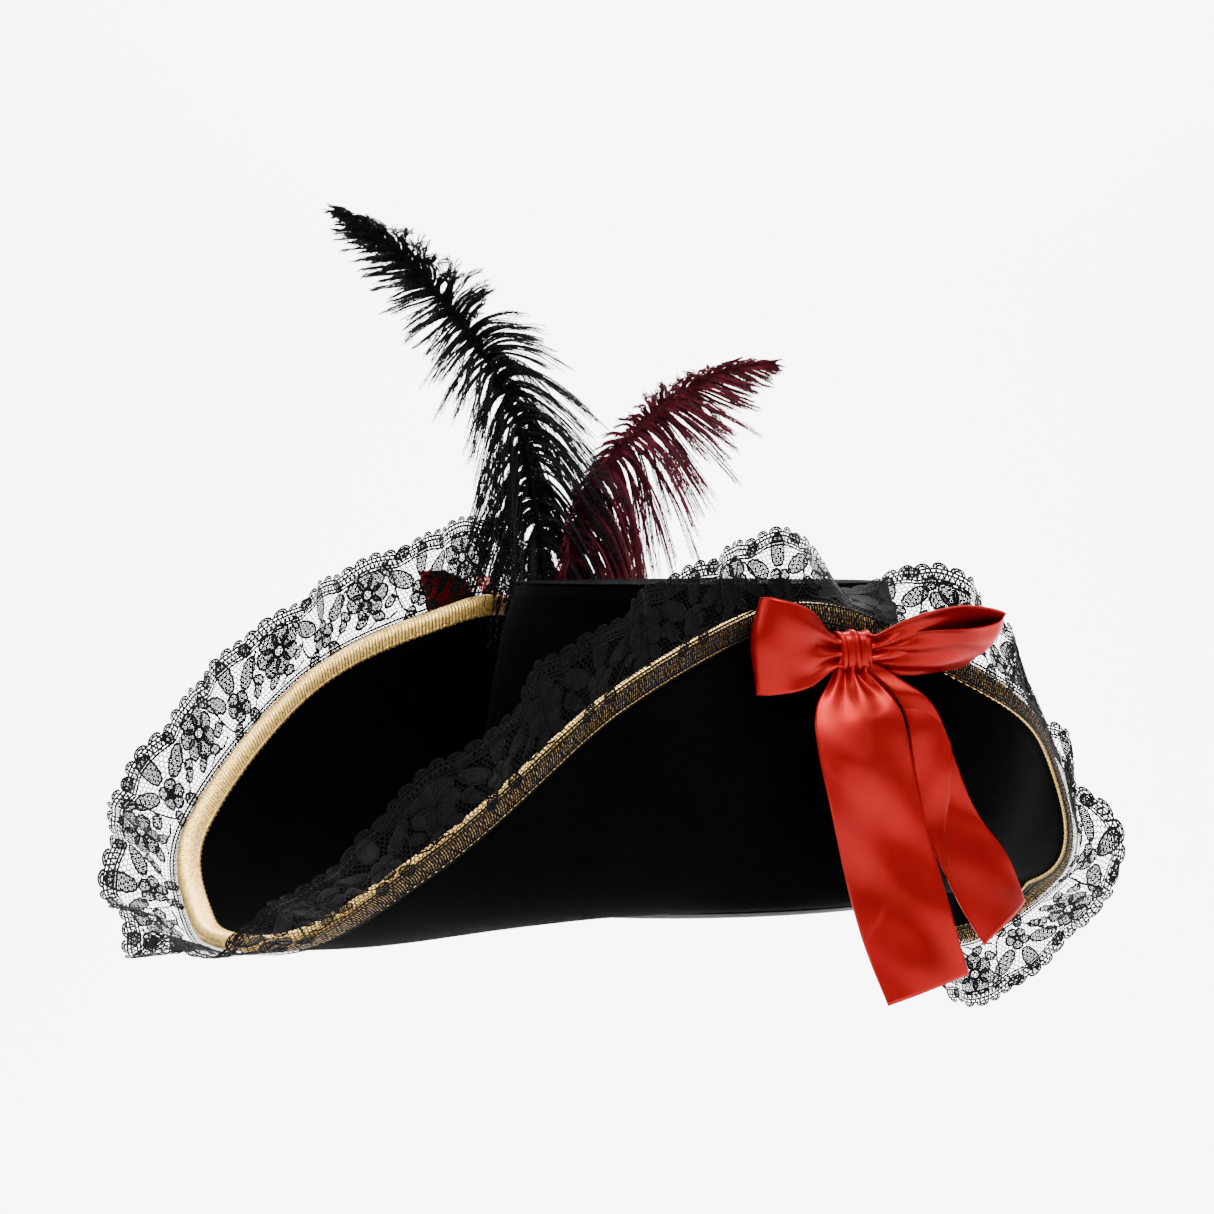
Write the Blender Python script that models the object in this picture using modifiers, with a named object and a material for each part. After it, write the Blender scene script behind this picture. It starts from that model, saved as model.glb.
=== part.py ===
"""Costume tricorn hat: velvet over a stiff brim and crown, gold binding, lace, two plumes and two bows.

Frame: metres, +Z up. The origin is the middle of the head opening, where the crown meets the brim.
The front of the hat faces -Y and the wearer's left is +X. Angles run from the front round the wearer's left.
"""

import math

import bmesh
import bpy
import numpy as np
from mathutils import Vector

# Head opening: outside half length and half width of the crown where it meets the brim.
CROWN_HALF_LENGTH = 0.103
CROWN_HALF_WIDTH = 0.087
CROWN_HEIGHT = 0.127
CROWN_BOTTOM = -0.003
CROWN_LEVELS = (0.0, 0.35, 0.65, 0.85, 1.0)
CROWN_SCALES = (1.0, 0.965, 0.91, 0.86, 0.80)
CROWN_SIDES = 40

VELVET = 0.0008
CROWN_STIFFENER = 0.0015
LINING = 0.0005
SWEATBAND = 0.001
SWEATBAND_HEIGHT = 0.026
SWEATBAND_DROP = 0.002
GAP = 0.0003

# Brim rim: stations of angle in degrees, distance from the middle, and height on each side.
RIM_ANGLES = (0, 10, 22, 38, 58, 80, 105, 130, 155, 180)
RIM_RADII = (0.238, 0.231, 0.219, 0.167, 0.116, 0.112, 0.138, 0.144, 0.160, 0.146)
RIM_HEIGHTS_LEFT = (-0.007, -0.001, 0.030, 0.088, 0.116, 0.118, 0.091, 0.059, 0.002, -0.035)
RIM_HEIGHTS_RIGHT = (-0.007, -0.001, 0.030, 0.088, 0.116, 0.118, 0.096, 0.040, -0.012, -0.035)
BRIM_START_GAP = 0.001
BRIM_STIFFENER = 0.002
BRIM_STATIONS = 60
BRIM_ROWS = 4
TROUGH_DEPTH = -0.016
TROUGH_END = 58.0
REACH_ANGLES = (0, TROUGH_END, 120, 180)
REACHES = (0.5, 0.9, 0.9, 0.75)

# Everything at the rim is placed by its distance inward from the rim line.
STACK_EDGE = 0.0042
WIRE_INSET = 0.0027
WIRE_RADIUS = 0.0006
FERRULE_INNER = 0.00075
FERRULE_OUTER = 0.001
FERRULE_STATIONS = 3
FERRULE_SIDES = 8
BINDING_WIDTH = 0.009
BINDING_THICKNESS = 0.0006
BINDING_OUTER_TURN = 0.0012
BINDING_INNER_TURN = 0.0017
BINDING_TURN_SHARE = 0.8
LACE_REACH = 0.031
LACE_THICKNESS = 0.0006
LACE_RIPPLES = 19
LACE_RIPPLE = 0.003

# Ribbon bows, set on the outside of each turned-up side.
BOW_ANGLE = 80.0
BOW_ALONG = 0.93
BOW_STAND_OFF = 0.0095
BOW_HEADING = (0.38, 0.925, 0.0)
RIGHT_BOW_LIFT = 0.008
RIBBON_WIDTH = 0.038
RIBBON_THICKNESS = 0.0006
KNOT_SIZE = (0.015, 0.009, 0.018)
KNOT_ROUNDING = 0.003
ROUND_PROFILE = 0.5
PINCH = 0.013

# Plumes, sewn to the right side of the crown.
BLACK_ROOT = (-0.0955, -0.010, 0.066)
BURGUNDY_ROOT = (-0.0890, -0.003, 0.066)
QUILL_RADIUS = 0.0013
QUILL_TIP = 0.35
QUILL_SINK = 0.012
BARB_THICKNESS = 0.0012
BARB_OUTWARD = 0.9
BARB_DROOP = 0.35
PATCH_SIZE = (0.0025, 0.034, 0.02)
PATCH_CENTRE = (-0.0850, -0.010, 0.060)


def clear_scene():
    """Remove every object that is in the scene."""
    for old in list(bpy.data.objects):
        bpy.data.objects.remove(old, do_unlink=True)


def smooth_curve(stations, values, at):
    """Read a smooth curve through stations, level at both ends."""
    stations = np.asarray(stations, float)
    values = np.asarray(values, float)
    slopes = np.zeros(len(values))
    slopes[1:-1] = (values[2:] - values[:-2]) / (stations[2:] - stations[:-2])
    k = int(np.clip(np.searchsorted(stations, at) - 1, 0, len(stations) - 2))
    width = stations[k + 1] - stations[k]
    u = (at - stations[k]) / width
    start = values[k] * (2 * u**3 - 3 * u**2 + 1) + slopes[k] * width * (u**3 - 2 * u**2 + u)
    end = values[k + 1] * (3 * u**2 - 2 * u**3) + slopes[k + 1] * width * (u**3 - u**2)
    return float(start + end)


def ellipse_radius(angle, half_length, half_width):
    """Distance from the middle to an ellipse, at an angle from the front."""
    return 1.0 / math.hypot(math.sin(angle) / half_width, math.cos(angle) / half_length)


def brim_profile(degrees):
    """Three control points (distance, height) of the brim's section at an angle."""
    turned = (degrees + 180.0) % 360.0 - 180.0
    around = abs(turned)
    angle = math.radians(around)
    heights = RIM_HEIGHTS_LEFT if turned >= 0 else RIM_HEIGHTS_RIGHT
    start = ellipse_radius(angle, CROWN_HALF_LENGTH, CROWN_HALF_WIDTH) + BRIM_START_GAP
    rim = smooth_curve(RIM_ANGLES, RIM_RADII, around)
    height = smooth_curve(RIM_ANGLES, heights, around)
    reach = smooth_curve(REACH_ANGLES, REACHES, around)
    sink = smooth_curve((0, TROUGH_END, 180), (TROUGH_DEPTH, 0, 0), around)
    if around > TROUGH_END:
        sink = 0.0
    return (start, 0.0), (start + reach * (rim - start), sink), (rim, height)


def brim_position(degrees, along):
    """Point of the brim's middle surface: along is 0 at the crown and 1 at the rim."""
    a, b, c = brim_profile(degrees)
    out = (1 - along) ** 2 * a[0] + 2 * along * (1 - along) * b[0] + along**2 * c[0]
    up = (1 - along) ** 2 * a[1] + 2 * along * (1 - along) * b[1] + along**2 * c[1]
    angle = math.radians(degrees)
    return Vector((out * math.sin(angle), -out * math.cos(angle), up))


def brim_frame(degrees, along):
    """Position, outward direction and upper-side normal of the brim."""
    step = 0.01
    place = brim_position(degrees, along)
    outward = brim_position(degrees, along + step) - brim_position(degrees, along - step)
    onward = brim_position(degrees + step * 50, along) - brim_position(degrees - step * 50, along)
    normal = outward.cross(onward).normalized()
    return place, outward.normalized(), normal


def inset_to_along(degrees, inset):
    """Turn a distance inward from the rim into the brim's along value."""
    a, b, c = brim_profile(degrees)
    return 1.0 - inset / (2 * math.hypot(c[0] - b[0], c[1] - b[1]))


def rim_point(degrees, inset, lift):
    """Point near the rim: inset is measured inward, and lift to the upper side."""
    place, outward, normal = brim_frame(degrees, 1.0)
    if inset > 0:
        place, outward, normal = brim_frame(degrees, inset_to_along(degrees, inset))
        return place + normal * lift
    return place - outward * inset + normal * lift


def material(name, colour, roughness, metallic=0.0):
    """Principled material with one colour."""
    made = bpy.data.materials.new(name)
    made.use_nodes = True
    shader = made.node_tree.nodes["Principled BSDF"]
    shader.inputs["Base Color"].default_value = (*colour, 1.0)
    shader.inputs["Roughness"].default_value = roughness
    shader.inputs["Metallic"].default_value = metallic
    return made


def add_object(name, data, finish, parent=None):
    """Put new data in the scene as a named part with its own material."""
    made = bpy.data.objects.new(name, data)
    parts.objects.link(made)
    colour, roughness, metallic = FINISHES[finish]
    data.materials.append(material(name, colour, roughness, metallic))
    if parent:
        made.parent = parent
    return made


def grid_mesh(name, rows, closed):
    """Open surface through rows of points; closed joins the last row to the first."""
    mesh = bpy.data.meshes.new(name)
    across = len(rows[0])
    points = [tuple(p) for row in rows for p in row]
    count = len(rows) if closed else len(rows) - 1
    faces = []
    for i in range(count):
        here = i * across
        there = ((i + 1) % len(rows)) * across
        for j in range(across - 1):
            faces.append((here + j, there + j, there + j + 1, here + j + 1))
    mesh.from_pydata(points, [], faces)
    mesh.update()
    mesh.shade_smooth()
    return mesh


def shell(name, rows, thickness, finish, closed=False, parent=None):
    """Sheet of a given thickness, centred on a surface through rows of points."""
    made = add_object(name, grid_mesh(name, rows, closed), finish, parent)
    if parent:
        made.matrix_parent_inverse = parent.matrix_world.inverted()
    thicken = made.modifiers.new("Thickness", "SOLIDIFY")
    thicken.thickness = thickness
    thicken.offset = 0.0
    return made


def swept_ring(name, sections, insets, finish):
    """Ring through matching closed sections, with every face split the same way to keep layers parallel."""
    mesh = bpy.data.meshes.new(name)
    size = len(sections[0])
    points = [tuple(p) for section in sections for p in section]
    faces = []
    for i in range(len(sections)):
        here = i * size
        there = ((i + 1) % len(sections)) * size
        for j in range(size):
            k = (j + 1) % size
            if insets[k] < insets[j]:
                faces.append((here + j, here + k, there + k))
                faces.append((here + j, there + k, there + j))
            else:
                faces.append((here + j, here + k, there + j))
                faces.append((here + k, there + k, there + j))
    mesh.from_pydata(points, [], faces)
    mesh.update()
    fixer = bmesh.new()
    fixer.from_mesh(mesh)
    bmesh.ops.recalc_face_normals(fixer, faces=fixer.faces)
    fixer.to_mesh(mesh)
    fixer.free()
    mesh.set_sharp_from_angle(angle=math.radians(40))
    return add_object(name, mesh, finish)


def wire(name, points, radius, finish, cyclic=False, radii=None, parent=None):
    """Round wire along points, as a filled curve."""
    curve = bpy.data.curves.new(name, "CURVE")
    curve.dimensions = "3D"
    curve.bevel_depth = radius
    curve.bevel_resolution = 1
    curve.use_fill_caps = not cyclic
    line = curve.splines.new("POLY")
    line.points.add(len(points) - 1)
    line.use_cyclic_u = cyclic
    for i, place in enumerate(points):
        line.points[i].co = (*place, 1.0)
        line.points[i].radius = radii[i] if radii else 1.0
    made = add_object(name, curve, finish, parent)
    if parent:
        made.matrix_parent_inverse = parent.matrix_world.inverted()
    return made


def elliptical_disc(name, half_length, half_width, bottom, thickness, finish):
    """Flat oval disc."""
    mesh = bpy.data.meshes.new(name)
    shape = bmesh.new()
    bmesh.ops.create_cone(
        shape, cap_ends=True, segments=CROWN_SIDES, radius1=1.0, radius2=1.0, depth=thickness
    )
    bmesh.ops.scale(shape, vec=(half_width, half_length, 1.0), verts=shape.verts)
    bmesh.ops.translate(shape, vec=(0, 0, bottom + thickness / 2), verts=shape.verts)
    shape.to_mesh(mesh)
    shape.free()
    return add_object(name, mesh, finish)


def crown_scale(height):
    """How much narrower the crown is than its base, at a height."""
    share = min(max(height / CROWN_HEIGHT, 0.0), 1.0)
    return float(np.interp(share, CROWN_LEVELS, CROWN_SCALES))


def crown_wall(name, bottom, top, depth, thickness, finish):
    """Upright oval wall whose middle lies a given depth inside the crown's outside."""
    levels = [bottom] + [share * CROWN_HEIGHT for share in CROWN_LEVELS[1:-1]] + [top]
    levels = [level for level in levels if level <= top]
    rows = []
    for i in range(CROWN_SIDES):
        angle = 2 * math.pi * i / CROWN_SIDES
        row = []
        for level in levels:
            scale = crown_scale(level)
            half_width = CROWN_HALF_WIDTH * scale - depth
            half_length = CROWN_HALF_LENGTH * scale - depth
            row.append((half_width * math.sin(angle), -half_length * math.cos(angle), level))
        rows.append(row)
    return shell(name, rows, thickness, finish, closed=True)


def build_crown():
    """Velvet, stiffener and lining of the crown, and the sweatband."""
    velvet_depth = VELVET / 2
    stiff_depth = VELVET + GAP + CROWN_STIFFENER / 2
    lining_depth = VELVET + GAP + CROWN_STIFFENER + GAP + LINING / 2
    band_depth = lining_depth + LINING / 2 + GAP + SWEATBAND / 2
    side_top = CROWN_HEIGHT - VELVET - GAP
    stiff_top = side_top - CROWN_STIFFENER - 2 * GAP
    lining_top = stiff_top - LINING - 3 * GAP
    crown_wall("crown_side_velvet", CROWN_BOTTOM, side_top, velvet_depth, VELVET, "velvet")
    crown_wall("crown_side_stiffener", CROWN_BOTTOM, stiff_top, stiff_depth, CROWN_STIFFENER, "felt")
    crown_wall("crown_side_lining", CROWN_BOTTOM, lining_top, lining_depth, LINING, "lining")
    band_bottom = CROWN_BOTTOM - SWEATBAND_DROP
    crown_wall("sweatband", band_bottom, SWEATBAND_HEIGHT, band_depth, SWEATBAND, "sweatband")
    for name, bottom, thickness, depth, finish in (
        ("crown_top_velvet", side_top + GAP, VELVET, 0.0, "velvet"),
        ("crown_top_stiffener", stiff_top + GAP, CROWN_STIFFENER, VELVET + 2 * GAP, "felt"),
        ("crown_top_lining", lining_top + GAP, LINING, lining_depth, "lining"),
    ):
        scale = crown_scale(bottom)
        half_length = CROWN_HALF_LENGTH * scale - depth
        half_width = CROWN_HALF_WIDTH * scale - depth
        elliptical_disc(name, half_length, half_width, bottom, thickness, finish)


def build_brim():
    """Three brim layers that end just inside the rim, its wire, ferrule and binding."""
    layers = (
        ("brim_stiffener", 0.0, BRIM_STIFFENER, "felt"),
        ("brim_upper_velvet", BRIM_STIFFENER / 2 + GAP + VELVET / 2, VELVET, "velvet"),
        ("brim_under_velvet", -BRIM_STIFFENER / 2 - GAP - VELVET / 2, VELVET, "velvet"),
    )
    turns = [360.0 * i / BRIM_STATIONS for i in range(BRIM_STATIONS)]
    for name, lift, thickness, finish in layers:
        sections = []
        for degrees in turns:
            frames = [brim_frame(degrees, along) for along in brim_rows(degrees)]
            top = [place + normal * (lift + thickness / 2) for place, outward, normal in frames]
            bottom = [place + normal * (lift - thickness / 2) for place, outward, normal in frames]
            sections.append(top + bottom[::-1])
        order = list(range(len(frames), 0, -1))
        swept_ring(name, sections, order + order[::-1], finish)
    wire("brim_wire", [rim_point(d, WIRE_INSET, 0) for d in turns], WIRE_RADIUS, "wire", cyclic=True)
    build_ferrule()
    stack = BRIM_STIFFENER / 2 + GAP + VELVET + GAP
    outer = stack + BINDING_THICKNESS
    wrap = (
        (BINDING_WIDTH, outer),
        (STACK_EDGE, outer),
        (BINDING_OUTER_TURN, outer * BINDING_TURN_SHARE),
        (0.0, 0.0),
        (BINDING_OUTER_TURN, -outer * BINDING_TURN_SHARE),
        (STACK_EDGE, -outer),
        (BINDING_WIDTH, -outer),
        (BINDING_WIDTH, -stack),
        (STACK_EDGE, -stack),
        (BINDING_INNER_TURN, -stack * BINDING_TURN_SHARE),
        (BINDING_THICKNESS, 0.0),
        (BINDING_INNER_TURN, stack * BINDING_TURN_SHARE),
        (STACK_EDGE, stack),
        (BINDING_WIDTH, stack),
    )
    sections = [[rim_point(d, inset, lift) for inset, lift in wrap] for d in turns]
    swept_ring("gold_binding", sections, [inset for inset, lift in wrap], "gold")


def brim_rows(degrees):
    """Along values of the brim layers' rows, with one under the binding's inner edge."""
    under_binding = inset_to_along(degrees, BINDING_WIDTH)
    rows = [under_binding * j / BRIM_ROWS for j in range(BRIM_ROWS + 1)]
    return rows + [inset_to_along(degrees, STACK_EDGE)]


def build_ferrule():
    """Short sleeve that joins the two ends of the brim wire at the back."""
    sections = []
    step = 360.0 / BRIM_STATIONS
    for i in range(FERRULE_STATIONS):
        degrees = 180.0 + step * (i - (FERRULE_STATIONS - 1) / 2) * 0.5
        low, high = math.floor(degrees / step) * step, math.ceil(degrees / step) * step
        share = 0.0 if high == low else (degrees - low) / (high - low)
        centre = rim_point(low, WIRE_INSET, 0).lerp(rim_point(high, WIRE_INSET, 0), share)
        place, outward, normal = brim_frame(degrees, inset_to_along(degrees, WIRE_INSET))
        outer_ring = []
        inner_ring = []
        for k in range(FERRULE_SIDES):
            angle = 2 * math.pi * k / FERRULE_SIDES
            arm = outward * math.cos(angle) + normal * math.sin(angle)
            outer_ring.append(centre + arm * FERRULE_OUTER)
            inner_ring.append(centre + arm * FERRULE_INNER)
        sections.append((outer_ring, inner_ring))
    tube_sleeve("wire_ferrule", sections, "wire")


def tube_sleeve(name, sections, finish):
    """Hollow sleeve through pairs of outer and inner rings."""
    mesh = bpy.data.meshes.new(name)
    size = len(sections[0][0])
    points = [tuple(p) for outer, inner in sections for p in outer + inner]
    faces = []
    for i in range(len(sections) - 1):
        here = i * 2 * size
        there = here + 2 * size
        for j in range(size):
            k = (j + 1) % size
            faces.append((here + j, here + k, there + k, there + j))
            faces.append((here + size + j, there + size + j, there + size + k, here + size + k))
    last = (len(sections) - 1) * 2 * size
    for j in range(size):
        k = (j + 1) % size
        faces.append((j, size + j, size + k, k))
        faces.append((last + j, last + k, last + size + k, last + size + j))
    mesh.from_pydata(points, [], faces)
    mesh.update()
    fixer = bmesh.new()
    fixer.from_mesh(mesh)
    bmesh.ops.recalc_face_normals(fixer, faces=fixer.faces)
    fixer.to_mesh(mesh)
    fixer.free()
    return add_object(name, mesh, finish)


def build_lace():
    """Band of lace sewn under the binding, standing out past the rim."""
    under = BRIM_STIFFENER / 2 + GAP + VELVET + GAP + BINDING_THICKNESS + GAP + LACE_THICKNESS / 2
    sections = []
    for i in range(BRIM_STATIONS):
        degrees = 360.0 * i / BRIM_STATIONS
        wave = LACE_RIPPLE * math.sin(math.radians(degrees) * LACE_RIPPLES)
        route = (
            (BINDING_WIDTH, -under),
            (STACK_EDGE, -under),
            (0.0, -under),
            (-LACE_REACH / 2, -under + wave / 2),
            (-LACE_REACH, -under + wave),
        )
        top = [rim_point(degrees, inset, lift + LACE_THICKNESS / 2) for inset, lift in route]
        bottom = [rim_point(degrees, inset, lift - LACE_THICKNESS / 2) for inset, lift in route]
        sections.append(top + bottom[::-1])
    insets = [inset for inset, lift in route]
    swept_ring("lace_trim", sections, insets + insets[::-1], "lace")


def bow_frame(side):
    """Middle of a bow's knot, and its directions along the brim, outward and up."""
    place, outward, normal = brim_frame(BOW_ANGLE, BOW_ALONG)
    centre = place - normal * BOW_STAND_OFF
    along = Vector(BOW_HEADING).normalized()
    out = Vector((along.y, -along.x, 0.0))
    up = Vector((0, 0, 1))
    if side == "right":
        centre = Vector((-centre.x, centre.y, centre.z + RIGHT_BOW_LIFT))
        along = Vector((-along.x, along.y, 0.0))
        out = Vector((-out.x, out.y, 0.0))
    return centre, along, out, up


def ribbon_rows(side, stations):
    """Edge points of a ribbon, from stations of (along, out, up, width, lean) in the bow's directions."""
    centre, along, out, up = bow_frame(side)
    rows = []
    for forward, away, rise, width, lean in stations:
        middle = centre + along * forward + out * away + up * rise
        across = up * math.cos(math.radians(lean)) + out * math.sin(math.radians(lean))
        rows.append([middle - across * width / 2, middle + across * width / 2])
    return rows


def tail_rows(side, stations):
    """Edge points of a hanging tail, from stations of (along, out, up, width, turn)."""
    centre, along, out, up = bow_frame(side)
    rows = []
    for forward, away, rise, width, turn in stations:
        middle = centre + along * forward + out * away + up * rise
        across = along * math.cos(math.radians(turn)) + out * math.sin(math.radians(turn))
        rows.append([middle - across * width / 2, middle + across * width / 2])
    return rows


FRONT_LOOP = (
    (-0.0085, 0.0025, 0.000, PINCH, 5),
    (-0.020, 0.0085, 0.001, 0.030, 6),
    (-0.036, 0.0105, 0.002, RIBBON_WIDTH, 6),
    (-0.042, 0.0065, 0.002, RIBBON_WIDTH, 6),
    (-0.038, 0.0005, 0.002, RIBBON_WIDTH, 6),
    (-0.020, -0.0008, 0.001, 0.030, 6),
    (-0.0085, -0.0008, 0.000, PINCH, 5),
)
BACK_LOOP = (
    (0.0085, 0.0035, 0.001, PINCH, 20),
    (0.022, 0.0120, 0.006, 0.028, 46),
    (0.038, 0.0175, 0.0095, 0.034, 60),
    (0.051, 0.0185, 0.0075, 0.036, 62),
    (0.0495, 0.0160, 0.0020, 0.036, 62),
    (0.036, 0.0130, -0.0005, 0.030, 56),
    (0.021, 0.0075, -0.0015, 0.022, 38),
    (0.0085, -0.0010, -0.001, PINCH, 20),
)
FIRST_TAIL = (
    (-0.002, 0.0025, -0.0095, 0.014, 0),
    (-0.001, 0.0070, -0.020, 0.031, 0),
    (0.000, 0.0090, -0.032, 0.037, 0),
    (0.005, 0.0110, -0.058, RIBBON_WIDTH, 4),
    (0.012, 0.0125, -0.085, RIBBON_WIDTH, 6),
    (0.019, 0.0125, -0.110, RIBBON_WIDTH, 4),
    (0.027, 0.0120, -0.132, RIBBON_WIDTH, 0),
)
SECOND_TAIL = (
    (0.0125, 0.0005, -0.0095, 0.009, 0),
    (0.0255, 0.0025, -0.022, 0.015, 0),
    (0.0320, 0.0035, -0.040, 0.020, -4),
    (0.0387, 0.0040, -0.060, 0.025, -10),
    (0.0495, 0.0045, -0.083, 0.034, -16),
    (0.0615, 0.0050, -0.108, RIBBON_WIDTH, -24),
)


def build_bow(side):
    """Knot, two loops and two tails of one bow."""
    centre, along, out, up = bow_frame(side)
    mesh = bpy.data.meshes.new(side + "_bow_knot")
    shape = bmesh.new()
    bmesh.ops.create_cube(shape, size=1.0)
    bmesh.ops.scale(shape, vec=KNOT_SIZE, verts=shape.verts)
    bmesh.ops.bevel(
        shape, geom=shape.edges[:], offset=KNOT_ROUNDING, segments=2, affect="EDGES", profile=ROUND_PROFILE
    )
    shape.to_mesh(mesh)
    shape.free()
    knot = add_object(side + "_bow_knot", mesh, "satin")
    knot.location = centre
    knot.rotation_euler = (0, 0, math.atan2(along.y, along.x))
    shell(side + "_bow_front_loop", ribbon_rows(side, FRONT_LOOP), RIBBON_THICKNESS, "satin")
    shell(side + "_bow_back_loop", ribbon_rows(side, BACK_LOOP), RIBBON_THICKNESS, "satin")
    for label, stations in (("first", FIRST_TAIL), ("second", SECOND_TAIL)):
        forward, away, rise, width, turn = stations[0]
        hinge = bpy.data.objects.new(f"{side}_{label}_tail_hinge", None)
        hinge.location = centre + along * forward + out * away + up * rise
        parts.objects.link(hinge)
        bpy.context.view_layer.update()
        rows = tail_rows(side, stations)
        shell(f"{side}_bow_{label}_tail", rows, RIBBON_THICKNESS, "satin", parent=hinge)


# Plume stations, along each heading from the root: sweep, rise, front barb length, back barb length.
BLACK_HEADING = (-0.1, -0.995, 0.0)
BLACK_STATIONS = (
    (0.000, 0.020, 0.005, 0.005),
    (0.001, 0.052, 0.006, 0.006),
    (0.002, 0.070, 0.020, 0.022),
    (0.006, 0.095, 0.031, 0.034),
    (0.013, 0.127, 0.026, 0.040),
    (0.029, 0.155, 0.022, 0.036),
    (0.049, 0.179, 0.024, 0.024),
    (0.076, 0.203, 0.022, 0.016),
    (0.105, 0.218, 0.004, 0.004),
)
BURGUNDY_HEADING = (0.35, 0.937, 0.0)
BURGUNDY_STATIONS = (
    (0.000, 0.020, 0.005, 0.005),
    (0.001, 0.052, 0.006, 0.006),
    (0.002, 0.070, 0.026, 0.007),
    (0.008, 0.097, 0.036, 0.007),
    (0.026, 0.120, 0.038, 0.012),
    (0.048, 0.140, 0.034, 0.012),
    (0.072, 0.153, 0.020, 0.008),
    (0.097, 0.157, 0.004, 0.004),
)


def build_plume(colour, root, heading, stations):
    """Quill and its two rows of barbs, all carried by an empty at the root."""
    base = Vector(root)
    sweep = Vector(heading).normalized()
    pivot = bpy.data.objects.new(colour + "_plume_pivot", None)
    pivot.location = base
    parts.objects.link(pivot)
    bpy.context.view_layer.update()
    spine = [base + sweep * s[0] + Vector((0, 0, s[1])) for s in stations]
    route = [base - Vector((0, 0, QUILL_SINK)), base] + spine
    radii = [1.0 - (1.0 - QUILL_TIP) * i / (len(route) - 1) for i in range(len(route))]
    wire(colour + "_feather_quill", route, QUILL_RADIUS, colour, radii=radii, parent=pivot)
    for label, sign, column in (("front", 1.0, 2), ("back", -1.0, 3)):
        rows = []
        for i, place in enumerate(spine):
            before = spine[max(i - 1, 0)]
            after = spine[min(i + 1, len(spine) - 1)]
            run = (after - before).normalized()
            aside = Vector((sweep.x * run.z, sweep.y * run.z, -(sweep.x * run.x + sweep.y * run.y)))
            aside = aside.normalized() * sign
            near = place + aside * (QUILL_RADIUS + 2 * GAP)
            lean = (aside * BARB_OUTWARD - run * BARB_DROOP).normalized()
            far = near + lean * stations[i][column]
            rows.append([near, far])
        shell(f"{colour}_feather_{label}_barbs", rows, BARB_THICKNESS, colour, parent=pivot)


def build_patch():
    """Felt pad that holds both quills against the crown."""
    mesh = bpy.data.meshes.new("feather_patch")
    shape = bmesh.new()
    bmesh.ops.create_cube(shape, size=1.0)
    bmesh.ops.scale(shape, vec=PATCH_SIZE, verts=shape.verts)
    shape.to_mesh(mesh)
    shape.free()
    patch = add_object("feather_patch", mesh, "felt")
    patch.location = PATCH_CENTRE


FINISHES = {
    "velvet": ((0.006, 0.006, 0.007), 0.95, 0.0),
    "felt": ((0.02, 0.02, 0.022), 0.95, 0.0),
    "lining": ((0.012, 0.012, 0.014), 0.55, 0.0),
    "sweatband": ((0.03, 0.03, 0.032), 0.7, 0.0),
    "gold": ((0.60, 0.42, 0.13), 0.38, 0.8),
    "wire": ((0.5, 0.5, 0.5), 0.4, 1.0),
    "lace": ((0.015, 0.015, 0.017), 0.7, 0.0),
    "satin": ((0.75, 0.025, 0.015), 0.3, 0.0),
    "black": ((0.010, 0.010, 0.011), 0.8, 0.0),
    "burgundy": ((0.075, 0.010, 0.018), 0.8, 0.0),
}

clear_scene()
parts = bpy.data.collections.new("pirate_hat")
bpy.context.scene.collection.children.link(parts)
build_crown()
build_brim()
build_lace()
for bow_side in ("left", "right"):
    build_bow(bow_side)
build_plume("black", BLACK_ROOT, BLACK_HEADING, BLACK_STATIONS)
build_plume("burgundy", BURGUNDY_ROOT, BURGUNDY_HEADING, BURGUNDY_STATIONS)
build_patch()
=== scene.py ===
"""Looks of the pirate hat: velvet, gold braid, lace, satin bows and ostrich plumes on the CAD frame."""

import math

import bmesh
import bpy
import numpy as np
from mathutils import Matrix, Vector


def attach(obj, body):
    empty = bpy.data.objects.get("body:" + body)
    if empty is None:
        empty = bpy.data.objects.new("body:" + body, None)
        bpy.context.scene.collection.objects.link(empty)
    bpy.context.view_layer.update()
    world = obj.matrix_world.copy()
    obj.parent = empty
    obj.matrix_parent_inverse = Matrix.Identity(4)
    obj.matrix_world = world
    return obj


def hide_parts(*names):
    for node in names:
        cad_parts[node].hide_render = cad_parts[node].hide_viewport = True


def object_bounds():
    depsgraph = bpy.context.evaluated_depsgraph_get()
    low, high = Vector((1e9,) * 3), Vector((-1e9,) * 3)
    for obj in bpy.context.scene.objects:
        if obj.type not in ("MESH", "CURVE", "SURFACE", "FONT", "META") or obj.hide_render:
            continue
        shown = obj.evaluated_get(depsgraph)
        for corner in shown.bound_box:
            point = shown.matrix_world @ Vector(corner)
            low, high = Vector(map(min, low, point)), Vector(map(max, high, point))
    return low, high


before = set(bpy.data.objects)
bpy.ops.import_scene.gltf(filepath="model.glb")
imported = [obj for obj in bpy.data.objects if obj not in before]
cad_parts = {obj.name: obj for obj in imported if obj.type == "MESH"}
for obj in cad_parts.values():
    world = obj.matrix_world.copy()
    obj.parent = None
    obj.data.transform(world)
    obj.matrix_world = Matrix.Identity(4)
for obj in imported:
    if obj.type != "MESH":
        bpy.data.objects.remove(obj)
cad_low, cad_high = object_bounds()
random = np.random.default_rng(7)

# ---------------------------------------------------------------- camera, floor and light

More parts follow.
